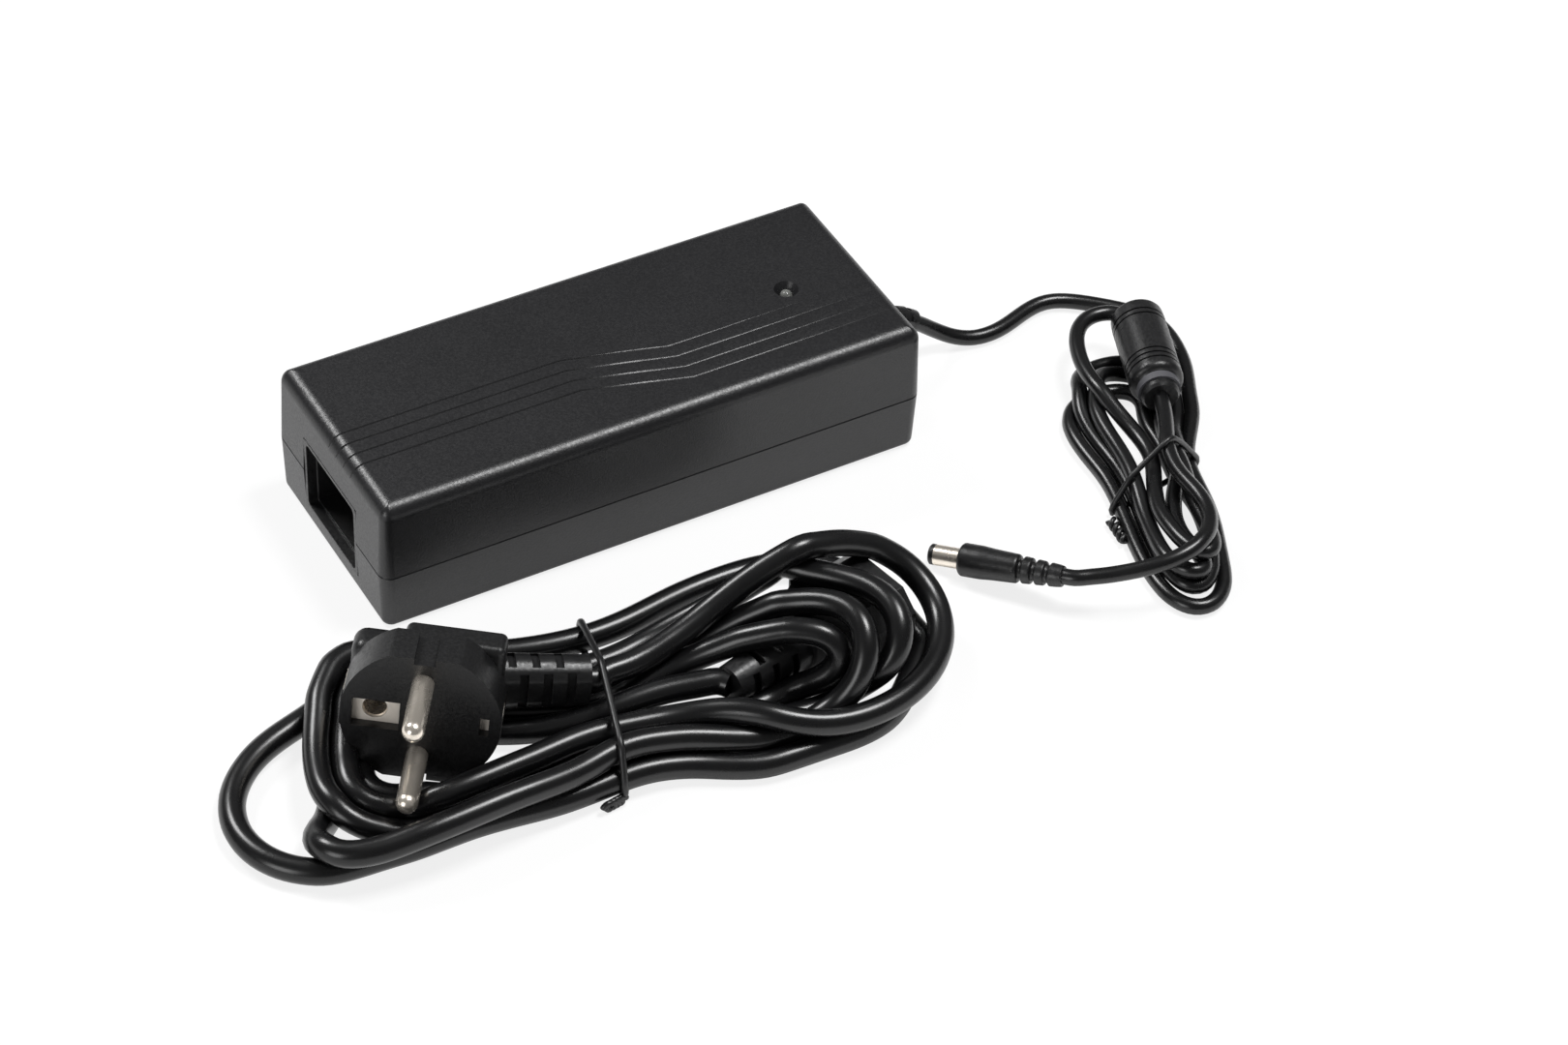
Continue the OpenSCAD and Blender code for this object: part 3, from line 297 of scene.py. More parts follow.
def finish_of(slot_name):
    """The finish of a material slot, made the first time that it is wanted."""
    if slot_name not in made_finishes:
        maker, *values = FINISHES[slot_name]
        made_finishes[slot_name] = maker(*values)
    return made_finishes[slot_name]


# ---- pieces
SHARP = 32   # degrees between two faces, past which their edge stays crisp


def link(obj):
    """Adds an object to the scene's collection."""
    bpy.context.scene.collection.objects.link(obj)
    return obj


def object_of(name, bm):
    """Turns a bmesh into an object in the scene."""
    mesh = bpy.data.meshes.new(name)
    bm.to_mesh(mesh)
    bm.free()
    return link(bpy.data.objects.new(name, mesh))


def smooth(bm, angle):
    """Shades faces smooth and keeps edges sharper than the angle crisp."""
    limit = math.radians(angle)
    for face in bm.faces:
        face.smooth = True
    for edge in bm.edges:
        edge.smooth = edge.calc_face_angle(0) < limit


def piece(name, bm, material, body, nodes=(), angle=SHARP, weighted=True):
    """Turns a finished bmesh in metres into an object that rides on a body and stands for CAD nodes."""
    smooth(bm, angle)
    obj = object_of(name, bm)
    obj.data.materials.append(finish_of(material))
    if weighted:
        obj.modifiers.new("weighted", "WEIGHTED_NORMAL").keep_sharp = True
    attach(obj, body)
    if nodes:
        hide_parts(*nodes)
    return obj


def from_node(name):
    """A CAD node's mesh with its loose triangles merged and its flat faces joined."""
    bm = bmesh.new()
    bm.from_mesh(frame["nodes"][name].data)
    bmesh.ops.remove_doubles(bm, verts=bm.verts, dist=0.002 * MM)
    bmesh.ops.dissolve_limit(bm, angle_limit=math.radians(0.4), verts=bm.verts, edges=bm.edges)
    return bm


def round_edges(obj, radius):
    """Rounds a piece's sharp edges, before its other modifiers."""
    bevel = obj.modifiers.new("rounded edges", "BEVEL")
    bevel.width = radius * MM
    bevel.segments = 2
    bevel.limit_method = "ANGLE"
    bevel.angle_limit = math.radians(SHARP)
    obj.modifiers.move(len(obj.modifiers) - 1, 0)


# ---- cords
STRAIGHTEN, STRAIGHTEN_FAR = 0.35, 0.05   # how strongly bends over 1 and over 3 samples open out
FREE_ALONG_SIGHT = 0.85    # share of the pull to the route that is given up along the line of sight
TOUCH = 1.005              # diameters between the middles of turns that lie side by side
NEIGHBOURS = 1.8           # diameters within which turns are tested against each other
OWN_LENGTH = 2.6           # diameters along the cord within which it isn't tested against itself
ROUGH_ROUNDS, FINE_ROUNDS, EASE_ROUNDS = 110, 500, 5
TIE_SIDES, TWIST_SAMPLES, TWIST_TURNS = 24, 28, 2   # of a tie round each turn, and of its twisted ends


def rounded_line(points, step):
    """A centripetal Catmull-Rom line through points, sampled about every step millimetres."""
    line = []
    last = len(points) - 1
    for i in range(last):
        p = [points[max(i - 1, 0)], points[i], points[i + 1], points[min(i + 2, last)]]
        knots = [0.0]
        for a, b in zip(p, p[1:]):
            knots.append(knots[-1] + max(np.linalg.norm(b - a), 1e-6) ** 0.5)
        parts = max(2, math.ceil(np.linalg.norm(p[2] - p[1]) / step * 2))
        for t in np.linspace(knots[1], knots[2], parts, endpoint=False):
            level = p
            for depth in (1, 2, 3):
                level = [
                    (a * (knots[k + depth] - t) + b * (t - knots[k])) / (knots[k + depth] - knots[k])
                    for k, (a, b) in enumerate(zip(level, level[1:]))
                ]
            line.append(level[0])
    line.append(points[-1])
    return evenly(np.array(line), step)


def evenly(line, step):
    """The same line with samples at equal distances of about step."""
    along = np.r_[0, np.cumsum(np.linalg.norm(np.diff(line, axis=0), axis=1))]
    wanted = np.linspace(0, along[-1], int(along[-1] / step) + 1)
    return np.stack([np.interp(wanted, along, line[:, k]) for k in range(3)], axis=1)


def off_capsule(start, end, r0, r1):
    """Keeps a cord out of a round tapered bar."""
    a, ab = np.array(start), np.array(end) - np.array(start)

    def push(line, free, r):
        t = np.clip((line - a) @ ab / (ab @ ab), 0, 1)
        out = line - a - t[:, None] * ab
        gap = np.linalg.norm(out, axis=1) + 1e-9
        need = r0 + (r1 - r0) * t + r
        hit = (gap < need) & free
        line[hit] += ((need - gap) / gap)[hit][:, None] * out[hit]

    return push


def off_box(origin, turn, low, high):
    """Keeps a cord out of a box given in a turned frame, by its nearest side."""
    origin, turn = np.array(origin), np.array(turn)

    def push(line, free, r):
        lo, hi = np.array(low) - 0.98 * r, np.array(high) + 0.98 * r
        local = (line - origin) @ turn
        hit = ((local > lo) & (local < hi)).all(1) & free
        if not hit.any():
            return
        q = local[hit]
        depth = np.stack([q[:, 0] - lo[0], hi[0] - q[:, 0], q[:, 1] - lo[1], hi[1] - q[:, 1],
                          np.full(len(q), 1e3), 0.7 * (hi[2] - q[:, 2])], axis=1)
        side = depth.argmin(1)
        for k, value in enumerate((lo[0], hi[0], lo[1], hi[1], lo[2], hi[2])):
            q[side == k, k // 2] = value
        line[hit] = line[hit] * 0.5 + (origin + q @ turn.T) * 0.5

    return push


def off_drum(origin, turn, x0, x1, radius):
    """Keeps a cord out of a drum whose axis is the turned frame's X."""
    origin, turn = np.array(origin), np.array(turn)

    def push(line, free, r):
        local = (line - origin) @ turn
        away = np.hypot(local[:, 1], local[:, 2]) + 1e-9
        hit = (local[:, 0] > x0 - r) & (local[:, 0] < x1 + r) & (away < radius + r) & free
        if not hit.any():
            return
        q, reach = local[hit], away[hit]
        side = np.stack([q[:, 0] - x0 + r, x1 + r - q[:, 0], radius + r - reach], axis=1).argmin(1)
        q[side == 0, 0] = x0 - r
        q[side == 1, 0] = x1 + r
        grow = np.where(side == 2, (radius + r) / reach, 1)
        q[:, 1:] *= grow[:, None]
        line[hit] = line[hit] * 0.5 + (origin + q @ turn.T) * 0.5

    return push


def bending(line, reach):
    """How far each sample is pushed by a cord that wants to be straight over reach samples each way."""
    first = np.zeros_like(line)
    first[reach:-reach] = (line[:-2 * reach] + line[2 * reach:]) / 2 - line[reach:-reach]
    second = np.zeros_like(line)
    second[reach:-reach] = (first[:-2 * reach] + first[2 * reach:]) / 2 - first[reach:-reach]
    return second


def settle(wanted, seen, weight, d, held, obstacles, rounds, drop, apart, even, ends):
    """Lets a cord lie down: it stays near its route, most of all across the line of sight, opens its
    bends, is pushed clear of itself, of the floor and of obstacles, and sinks."""
    line, n, r = wanted.copy(), len(wanted), d / 2
    step = np.linalg.norm(np.diff(wanted, axis=0), axis=1).mean()
    index = np.arange(n)
    skip = math.ceil(d * OWN_LENGTH / step)
    one, two = np.where(index[:, None] - index[None, :] > skip)
    free = ~held
    clear = free.copy()
    clear[:ends] = clear[-ends:] = False
    sight = wanted - np.array(CAMERA_AT)
    sight /= np.linalg.norm(sight, axis=1, keepdims=True)
    for turn in range(rounds):
        pull = wanted - line
        along = (pull * sight).sum(1, keepdims=True) * sight
        move = -STRAIGHTEN * bending(line, 1) - STRAIGHTEN_FAR * bending(line, 3)
        move += weight[:, None] * np.where(seen[:, None], pull - FREE_ALONG_SIGHT * along, pull)
        line[free] += move[free]
        line[free, 2] -= drop
        if turn % 5 == 0:
            near = ((line[one] - line[two]) ** 2).sum(1) < (NEIGHBOURS * d) ** 2
            i_near, j_near = one[near], two[near]
        for _ in range(4):
            v = line[i_near] - line[j_near]
            gap = np.linalg.norm(v, axis=1) + 1e-9
            hit = gap < d * TOUCH
            i, j = i_near[hit], j_near[hit]
            push = ((d * TOUCH - gap) / gap)[hit][:, None] * v[hit] * 0.5
            total, count = np.zeros_like(line), np.zeros(n)
            np.add.at(total, i, push)
            np.add.at(total, j, -push)
            np.add.at(count, i, 1)
            np.add.at(count, j, 1)
            total /= np.maximum(count, 1)[:, None] ** 0.7
            line[free] += total[free] * apart
            for obstacle in obstacles:
                obstacle(line, clear, r)
            low = (line[:, 2] < r) & free
            line[low, 2] = r
            step = np.linalg.norm(np.diff(line, axis=0), axis=1).mean()
            for start in (0, 1):
                a = np.arange(start, n - 1, 2)
                b = a + 1
                v = line[b] - line[a]
                gap = np.linalg.norm(v, axis=1) + 1e-9
                wa, wb = free[a].astype(float), free[b].astype(float)
                share = np.maximum(wa + wb, 1e-9)
                change = ((gap - step) / gap)[:, None] * v * even
                line[a] += change * (wa / share)[:, None]
                line[b] -= change * (wb / share)[:, None]
    return line


def laid(route, d, step, weights, drop, ends, obstacles, held_near=None):
    """A cord's finished centreline in millimetres, from its route."""
    points = np.array([p for _, run in route for p in run], float)
    hold = np.array([h for h, run in route for _ in run])
    line = rounded_line(points, step)
    where, last = [], 0
    for p in points:
        last += int(np.linalg.norm(line[last:last + 60] - p, axis=1).argmin())
        where.append(last)
    samples = np.arange(len(line))
    in_sight = hold > 0.9
    weight = np.interp(samples, where, np.where(in_sight, *weights))
    seen = np.interp(samples, where, in_sight.astype(float)) > 0.6
    held = np.zeros(len(line), bool)
    held[:3] = held[-3:] = True
    if held_near is not None:
        held |= held_near(line)
    line = settle(line, seen, weight, d, held, obstacles, ROUGH_ROUNDS, 0.0, 0.35, 0.4, ends)
    line = settle(line, seen, weight * 0.6, d, held, obstacles, FINE_ROUNDS, drop, 1.0, 0.8, ends)
    return eased(line, held, d)


def eased(line, held, least):
    """The line with its bends opened out a little where they are tighter than the least radius."""
    line = line.copy()
    for _ in range(EASE_ROUNDS):
        before, here, after = line[:-4], line[2:-2], line[4:]
        sides = [np.linalg.norm(a - b, axis=1)
                 for a, b in ((here, before), (after, here), (after, before))]
        area = np.linalg.norm(np.cross(here - before, after - before), axis=1) / 2
        tight = np.zeros(len(line))
        tight[2:-2] = np.prod(sides, axis=0) < 4 * area * least
        near = (np.convolve(tight, np.ones(9), "same") > 0.5) & ~held
        shift = (line[:-2] + line[2:]) / 2 - line[1:-1]
        line[1:-1] += 0.5 * shift * near[1:-1, None]
    return line


def cord_curve(name, line, d, material, body, step, *nodes):
    """A round cord along a centreline, as one open curve."""
    line = rounded_line(line, step)
    gaps = np.linalg.norm(np.diff(line, axis=0), axis=1)
    line = line[np.append(gaps > step * 0.4, True)]
    data = bpy.data.curves.new(name, "CURVE")
    data.dimensions = "3D"
    data.bevel_depth = d / 2 * MM
    data.bevel_resolution = 6
    data.use_fill_caps = True
    spline = data.splines.new("POLY")
    spline.points.add(len(line) - 1)
    for point, place in zip(spline.points, line):
        point.co = (*(place * MM), 1)
    spline.use_smooth = True
    data.materials.append(finish_of(material))
    obj = link(bpy.data.objects.new(name, data))
    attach(obj, body)
    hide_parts(*nodes)
    return obj


# ---- wire ties, drawn tight round the turns that they hold
def crossings(line, origin, across):
    """Where a centreline passes the upright plane through origin whose level direction is across,
    as places (along across, height) in that plane."""
    normal = np.array([across[1], -across[0], 0])
    side = (line - origin) @ normal
    found = []
    for i in np.where(side[:-1] * side[1:] < 0)[0]:
        t = side[i] / (side[i] - side[i + 1])
        spot = line[i] + t * (line[i + 1] - line[i])
        found.append(((spot - origin) @ across, spot[2]))
    return found


def hull_round(spots, reach):
    """The tight outline round circles of radius reach, anticlockwise."""
    ring = [(x + reach * math.cos(a), z + reach * math.sin(a))
            for x, z in spots for a in np.linspace(0, 2 * math.pi, TIE_SIDES, endpoint=False)]
    ring = sorted(set((round(x, 4), round(z, 4)) for x, z in ring))

    def half(points):
        out = []
        for p in points:
            while len(out) > 1 and ((out[-1][0] - out[-2][0]) * (p[1] - out[-2][1])
                                    - (out[-1][1] - out[-2][1]) * (p[0] - out[-2][0])) <= 0:
                out.pop()
            out.append(p)
        return out[:-1]

    return half(ring) + half(ring[::-1])


def swept(bm, path, radius, sides=10, closed=True):
    """A round bar along a path in millimetres."""
    count = len(path)
    rings = []
    side = None
    for i in range(count):
        before = path[i - 1] if closed or i else path[i]
        after = path[(i + 1) % count] if closed or i < count - 1 else path[i]
        along = (after - before).normalized()
        side = along.orthogonal() if side is None else (side - along * side.dot(along))
        side.normalize()
        other = along.cross(side)
        rings.append([
            bm.verts.new((path[i] + (side * math.cos(a) + other * math.sin(a)) * radius) * MM)
            for a in (2 * math.pi * k / sides for k in range(sides))])
    for i in range(count if closed else count - 1):
        a, b = rings[i], rings[(i + 1) % count]
        for k in range(sides):
            bm.faces.new((a[k], a[(k + 1) % sides], b[(k + 1) % sides], b[k]))
    if not closed:
        bm.faces.new(rings[0][::-1])
        bm.faces.new(rings[-1])


def wire_tie(node, line, d, origin, across, window, thick, tail, body):
    """A coated wire tie round the turns that cross its plane, with its two ends twisted together."""
    origin, across = np.array(origin, float), np.array(across, float)
    across /= np.linalg.norm(across)
    spots = [s for s in crossings(line, origin, across) if window[0] < s[0] < window[1]]
    outline = hull_round(spots, d / 2 + thick / 2)
    path = [Vector((*(origin + across * x)[:2], max(z, thick / 2))) for x, z in outline]
    path = [Vector(p) for p in evenly(np.array([*path, path[0]]), 1.2)[:-1]]
    bm = bmesh.new()
    swept(bm, path, thick / 2)
    for turn in (0, math.pi):
        twist = []
        for k in range(TWIST_SAMPLES):
            t = k / (TWIST_SAMPLES - 1)
            spot = Vector(tail[0]).lerp(Vector(tail[1]), t)
            a = turn + t * TWIST_TURNS * 2 * math.pi
            twist.append(spot + Vector((0.6 * math.cos(a), 0, 0.6 * math.sin(a))) * thick)
        swept(bm, twist, thick * 0.42, closed=False)
    return piece(node + "_finished", bm, "tie_plastic", body, [node], angle=60, weighted=False)


# ---- camera, floor and light
CAMERA_AT = Vector((-353.484, -663.55, 685.367))
CAMERA_RIGHT = Vector((0.871267, -0.489390, 0.037294))
CAMERA_UP = Vector((0.310889, 0.609082, 0.729635))
SENSOR = 36.0

# Soft boxes: name, place in metres, side in metres, share of the key lamp's power
LAMPS = (("key_behind", (-0.38, 0.85, 1.05), 0.42, 1.15),
         ("key_above", (0.48, -0.12, 1.3), 0.46, 1.6),
         ("left", (-1.25, -0.55, 0.5), 0.6, 0.55))
LAMPS_AIM = (0, -0.03, 0)
FLOOR_REACH, FLOOR_DROP = 4, 0.05    # half the floor's width in metres, and its gap below in millimetres
WORLD_SEEN, WORLD_LIGHT = 1.0, 0.15  # strength of the background to the camera, and as light
# Share of its own light that the floor shows to the camera and through the lens, in reflections, and
# in reflections of the floor ahead of the housing, which begins between the places in metres below;
# that lower share ahead is a painted shadow of the housing, seen in reflections on its long side.
FLOOR_SEEN, FLOOR_GLOSS, FLOOR_GLOSS_PAINTED_SHADOW = 0.82, 0.95, 0.3
AHEAD_X, AHEAD_Y = (-0.085, -0.06), (-0.025, 0)


class ADAPTER_OT_stage(bpy.types.Operator):
    """Set the camera at the photograph's viewing angle, the pale floor and the soft studio light"""

    bl_idname = "adapter.stage"
    bl_label = "Camera, floor and light"

    def execute(self, context):
        scene = context.scene
        scene.view_settings.view_transform = "Standard"
        camera = bpy.data.cameras.new("camera")
        camera.lens = settings().lens
        camera.sensor_width = SENSOR
        camera.sensor_fit = "AUTO"
        camera.clip_start, camera.clip_end = 0.01, 20
        seat = link(bpy.data.objects.new("camera", camera))
        right = CAMERA_RIGHT.normalized()
        back = right.cross(CAMERA_UP).normalized()
        turn = Matrix((right, back.cross(right), back)).transposed()
        seat.matrix_world = Matrix.Translation(CAMERA_AT * MM) @ turn.to_4x4()
        scene.camera = seat

        bm = bmesh.new()
        bmesh.ops.create_grid(bm, x_segments=1, y_segments=1, size=FLOOR_REACH)
        floor = object_of("floor", bm)
        floor.data.materials.append(floor_surface())
        floor.location.z = -FLOOR_DROP * MM

        staged = [floor]
        for name, spot, size, power in LAMPS:
            lamp = bpy.data.lights.new(name, "AREA")
            lamp.shape = "SQUARE"
            lamp.size = size
            lamp.energy = power * settings().key_power
            obj = link(bpy.data.objects.new(name, lamp))
            obj.location = spot
            aim = Vector(LAMPS_AIM) - Vector(spot)
            obj.rotation_mode = "QUATERNION"
            obj.rotation_quaternion = aim.to_track_quat("-Z", "Y")
            staged.append(obj)
        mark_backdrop(*staged)

        world = bpy.data.worlds.new("studio")
        scene.world = world
        tree = blank_tree(world)
        in_view = add(tree, "LightPath").outputs["Is Camera Ray"]
        strength = add(tree, "MapRange", ranged(in_view, 0, 1, WORLD_LIGHT, WORLD_SEEN))
        back = add(tree, "Background", {"Color": linear("#ffffff"),
                                        "Strength": strength.outputs["Result"]})
        add(tree, "OutputWorld", {"Surface": back.outputs["Background"]})
        return {"FINISHED"}


def floor_surface():
    """White paper: a plain diffuse floor that the camera sees a little lighter than it is lit, with a
    painted shadow in reflections ahead of the housing.
    """
    material = bpy.data.materials.new("white_floor")
    tree = blank_tree(material)
    colour = (*settings().floor_colour, 1)

    def between(value, *limits):
        return add(tree, "MapRange", ranged(value, *limits)).outputs["Result"]

    def reckon(operation, *values):
        return add(tree, "Math", dict(enumerate(values)), operation=operation).outputs[0]

    paper = add(tree, "BsdfDiffuse", {"Color": colour})
    glow = add(tree, "Emission", {"Color": colour, "Strength": 1.0})
    ray = add(tree, "LightPath").outputs
    at = add(tree, "TexCoord").outputs["Object"]
    spot = add(tree, "SeparateXYZ", {"Vector": at}).outputs
    # Painted shadow: ahead of the housing's long side, reflections see less of the floor's glow.
    ahead = reckon("MULTIPLY", between(spot["X"], *AHEAD_X, 0, 1), between(spot["Y"], *AHEAD_Y, 1, 0))
    gloss = reckon("MULTIPLY", ray["Is Glossy Ray"],
                   between(ahead, 0, 1, FLOOR_GLOSS, FLOOR_GLOSS_PAINTED_SHADOW))
    straight = reckon("ADD", ray["Is Camera Ray"], ray["Is Transmission Ray"])
    share = reckon("MULTIPLY_ADD", straight, FLOOR_SEEN, gloss)
    mixed = add(tree, "MixShader", {0: share, 1: paper.outputs["BSDF"], 2: glow.outputs["Emission"]})
    add(tree, "OutputMaterial", {"Surface": mixed.outputs["Shader"]})
    return material


# ---- pieces that keep the CAD's shape
SLOT_OF = {part["node"]: part["material_slot"] for part in frame["record"]["subparts"]}
VISIBLE_NODES = [
    "mains_inlet", "inlet_earth_blade", "inlet_line_blade", "inlet_neutral_blade", "status_led",
    "cord_strain_relief", "dc_plug_grip", "dc_plug_sleeve", "dc_plug_insulator", "dc_plug_contact",
    "mains_line_pin", "mains_neutral_pin", "mains_earth_socket", "mains_connector_body",
]
ROUNDED = {"mains_connector_body": 0.35, "dc_plug_grip": 0.25,    # radius of their sharp edges
           "cord_strain_relief": 0.25, "mains_inlet": 0.15}


def body_of(node):
    """The CAD body that a node belongs to."""
    on_lead = node.startswith(("mains_", "connector_")) and node not in ("mains_inlet", "mains_fuse")
    return "mains_lead" if on_lead else "adapter"


def piece_named(node):
    """The piece that stands for a CAD node."""
    return bpy.data.objects[node + "_finished"]


class ADAPTER_OT_finished_nodes(bpy.types.Operator):
    """Show the CAD's own shapes with smooth shading and their finish"""

    bl_idname = "adapter.finished_nodes"
    bl_label = "Shapes that the CAD has already"

    def execute(self, context):
        for node in VISIBLE_NODES:
            obj = piece(node + "_finished", from_node(node), SLOT_OF[node], body_of(node), [node])
            if node in ROUNDED:
                round_edges(obj, ROUNDED[node])
        return {"FINISHED"}


class ADAPTER_OT_inner_parts(bpy.types.Operator):
    """Give the parts inside the covers their finishes"""

    bl_idname = "adapter.inner_parts"
    bl_label = "Parts inside the covers"

    def execute(self, context):
        for node, obj in frame["nodes"].items():
            if obj.hide_render:
                continue
            obj.data.materials.clear()
            obj.data.materials.append(finish_of(SLOT_OF[node]))
        return {"FINISHED"}


# ---- image points: the photograph's frame scaled to 1568 wide, x to the right and y down
FRAME_W, FRAME_H = 1568.0, 1045.33
LEFT_X, RIGHT_X, TOP_Y, BOTTOM_Y = 281.2, 1183.5, 203.0, 814.4   # housing, sleeve, housing, pin
IMAGE_POINTS = {
    "status_led": (785.9, 293.2),
    "mains_line_pin": (418.1, 708.9),
    "mains_neutral_pin": (411.8, 780.4),
    "cord_strain_relief": (907.8, 317.4),
    "dc_plug_sleeve": (934.8, 554.8),
    "dc_plug_grip": (1011.2, 565.2),
    "ferrite_case": (1147.1, 354.8),
    "mains_connector_body": (817.3, 639.3),
    "sleeve_hole_upper": (1121.8, 326.7),
    "sleeve_hole_lower": (1136.6, 379.9),
}

# Corners that set the camera: image point, and the corner in the row frame in millimetres
CORNER_POINTS = {
    "parting_near_corner": ((389.1, 580.4), (-68.85, -28, 15.3)),
    "parting_right_corner": ((917.9, 393.9), (68.85, -28, 15.3)),
    "top_far_corner": ((802.4, 203.3), (68.25, 27.4, 35.2)),
    "top_near_corner": ((387.2, 511.1), (-68.25, -27.4, 35.2)),
}


def camera_axes():
    """The camera's place, its lens in pixels and its shifts."""
    seat = bpy.context.scene.camera
    lens = seat.data.lens * max(FRAME_W, FRAME_H) / seat.data.sensor_width
    return seat.matrix_world, lens, seat.data.shift_x, seat.data.shift_y


def on_surface(name, carrier):
    """Where the ray through an image point meets a finished piece, or comes nearest it, and its normal."""
    world, lens, shift_x, shift_y = camera_axes()
    long_side = max(FRAME_W, FRAME_H)
    x, y = IMAGE_POINTS[name]
    aim = Vector((x - FRAME_W / 2 + shift_x * long_side, FRAME_H / 2 - y + shift_y * long_side, -lens))
    start, aim = world.translation, (world.to_3x3() @ aim).normalized()
    tree = BVHTree.FromObject(carrier, bpy.context.evaluated_depsgraph_get())
    place_hit, normal, _, far = tree.ray_cast(start, aim)
    if place_hit is None:
        tries = (tree.find_nearest(start + aim * (0.5 + 0.005 * k)) for k in range(200))
        place_hit, normal, _, far = min(tries, key=lambda hit: hit[3])
    return place_hit, normal


def shown(obj, depsgraph, near=None):
    """Pixels of a piece's finished vertices that the camera sees, or of the one nearest a place. Only
    vertices count, so the plug's sleeve, whose rear ring is in the grip, is measured at its front rim."""
    world, lens, shift_x, shift_y = camera_axes()
    long_side, start = max(FRAME_W, FRAME_H), world.translation
    finished = obj.evaluated_get(depsgraph)
    mesh = finished.to_mesh()
    pixels, closest = [], 1.0
    for v in mesh.vertices:
        co = obj.matrix_world @ v.co
        if near is not None and (co - near).length >= closest:
            continue
        reach = (co - start).length
        hit, spot, *_ = bpy.context.scene.ray_cast(depsgraph, start, (co - start).normalized())
        if not hit or (spot - start).length > reach - 0.3 * MM:
            x, y, z = world.inverted() @ co
            if near is not None:
                pixels, closest = [], (co - near).length
            pixels.append((FRAME_W / 2 - shift_x * long_side - x / z * lens,
                           FRAME_H / 2 + shift_y * long_side + y / z * lens))
    finished.to_mesh_clear()
    return pixels


def write_points():
    """Works out how far each named thing shows from its image point, without writing it out."""
    depsgraph = bpy.context.evaluated_depsgraph_get()
    report, extents = {}, []
    solid = [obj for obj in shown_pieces() if obj.type == "MESH" and not obj.hide_render
             and not obj.name.startswith(("mains_cord", "dc_cord"))]
    for obj in solid:
        pixels = shown(obj, depsgraph)
        if not pixels:
            continue
        low = [min(p[k] for p in pixels) for k in range(2)]
        high = [max(p[k] for p in pixels) for k in range(2)]
        extents.append((low, high))
        name = obj.name.removesuffix("_finished")
        if name in IMAGE_POINTS:
            off = [(low[k] + high[k]) / 2 - IMAGE_POINTS[name][k] for k in range(2)]
            report[name] = [round(o, 1) for o in off]
    for name, (point, place_in_row) in CORNER_POINTS.items():
        pixels = shown(piece_named("top_cover"), depsgraph, Vector(place_in_row) * MM)
        report[name] = [round(pixels[0][k] - point[k], 1) for k in range(2)] if pixels else None
    report["left_x"] = round(min(low[0] for low, _ in extents) - LEFT_X, 1)
    report["right_x"] = round(max(high[0] for _, high in extents) - RIGHT_X, 1)
    report["top_y"] = round(min(low[1] for low, _ in extents) - TOP_Y, 1)
    report["bottom_y"] = round(max(high[1] for _, high in extents) - BOTTOM_Y, 1)


# ---- shapes that the looks add to
def lathe(profile, at, turn, steps=56):
    """A turned shape from (along, radius) points in millimetres, about the turned frame's X."""
    bm = bmesh.new()
    verts = [bm.verts.new((along, 0, radius)) for along, radius in profile]
    edges = [bm.edges.new(pair) for pair in zip(verts, verts[1:])]
    bmesh.ops.spin(bm, geom=verts + edges, cent=(0, 0, 0), axis=(1, 0, 0), angle=2 * math.pi,
                   steps=steps, use_merge=True)
    bmesh.ops.remove_doubles(bm, verts=bm.verts, dist=1e-4)
    bmesh.ops.recalc_face_normals(bm, faces=bm.faces)
    into_row(bm, at, turn)
    return bm


def into_row(bm, at, turn):
    """Moves a mesh made in millimetres in its own frame to its place in the row frame."""
    bmesh.ops.transform(bm, matrix=Matrix.Translation(Vector(at) * MM) @ turn.to_4x4()
                        @ Matrix.Scale(MM, 4), verts=bm.verts)


def corner(t, r, radius, start, end, count=5):
    """Points of a rounded corner of a profile, about the middle (t, r), between two angles in degrees."""
    angles = (math.radians(start + (end - start) * k / count) for k in range(count + 1))
    return [(t + radius * math.cos(a), r + radius * math.sin(a)) for a in angles]


def ring_groove(t, r, width=0.5, depth=0.45):
    """Points of one groove round a turned shape."""
    half = width / 2
    return [(t - half, r), (t - half * 0.6, r - depth), (t + half * 0.6, r - depth), (t + half, r)]


def rounded_block(bm, low, high, radius, segments=5):
    """Adds a box with all its edges rounded, in the mesh's own units."""
    low, high = Vector(low), Vector(high)
    made = bmesh.ops.create_cube(bm, size=1)["verts"]
    for v in made:
        v.co = Vector(low[k] + (high[k] - low[k]) * (v.co[k] + 0.5) for k in range(3))
    edges = list({e for v in made for e in v.link_edges})
    bmesh.ops.bevel(bm, geom=edges, offset=radius, segments=segments, profile=0.5, affect="EDGES",
                    material=-1)


FERRITE_RINGS = (-10.6, -9.0, 3.6, 5.2, 6.8)   # places of the grooves along the sleeve
HOLE_R = 0.7


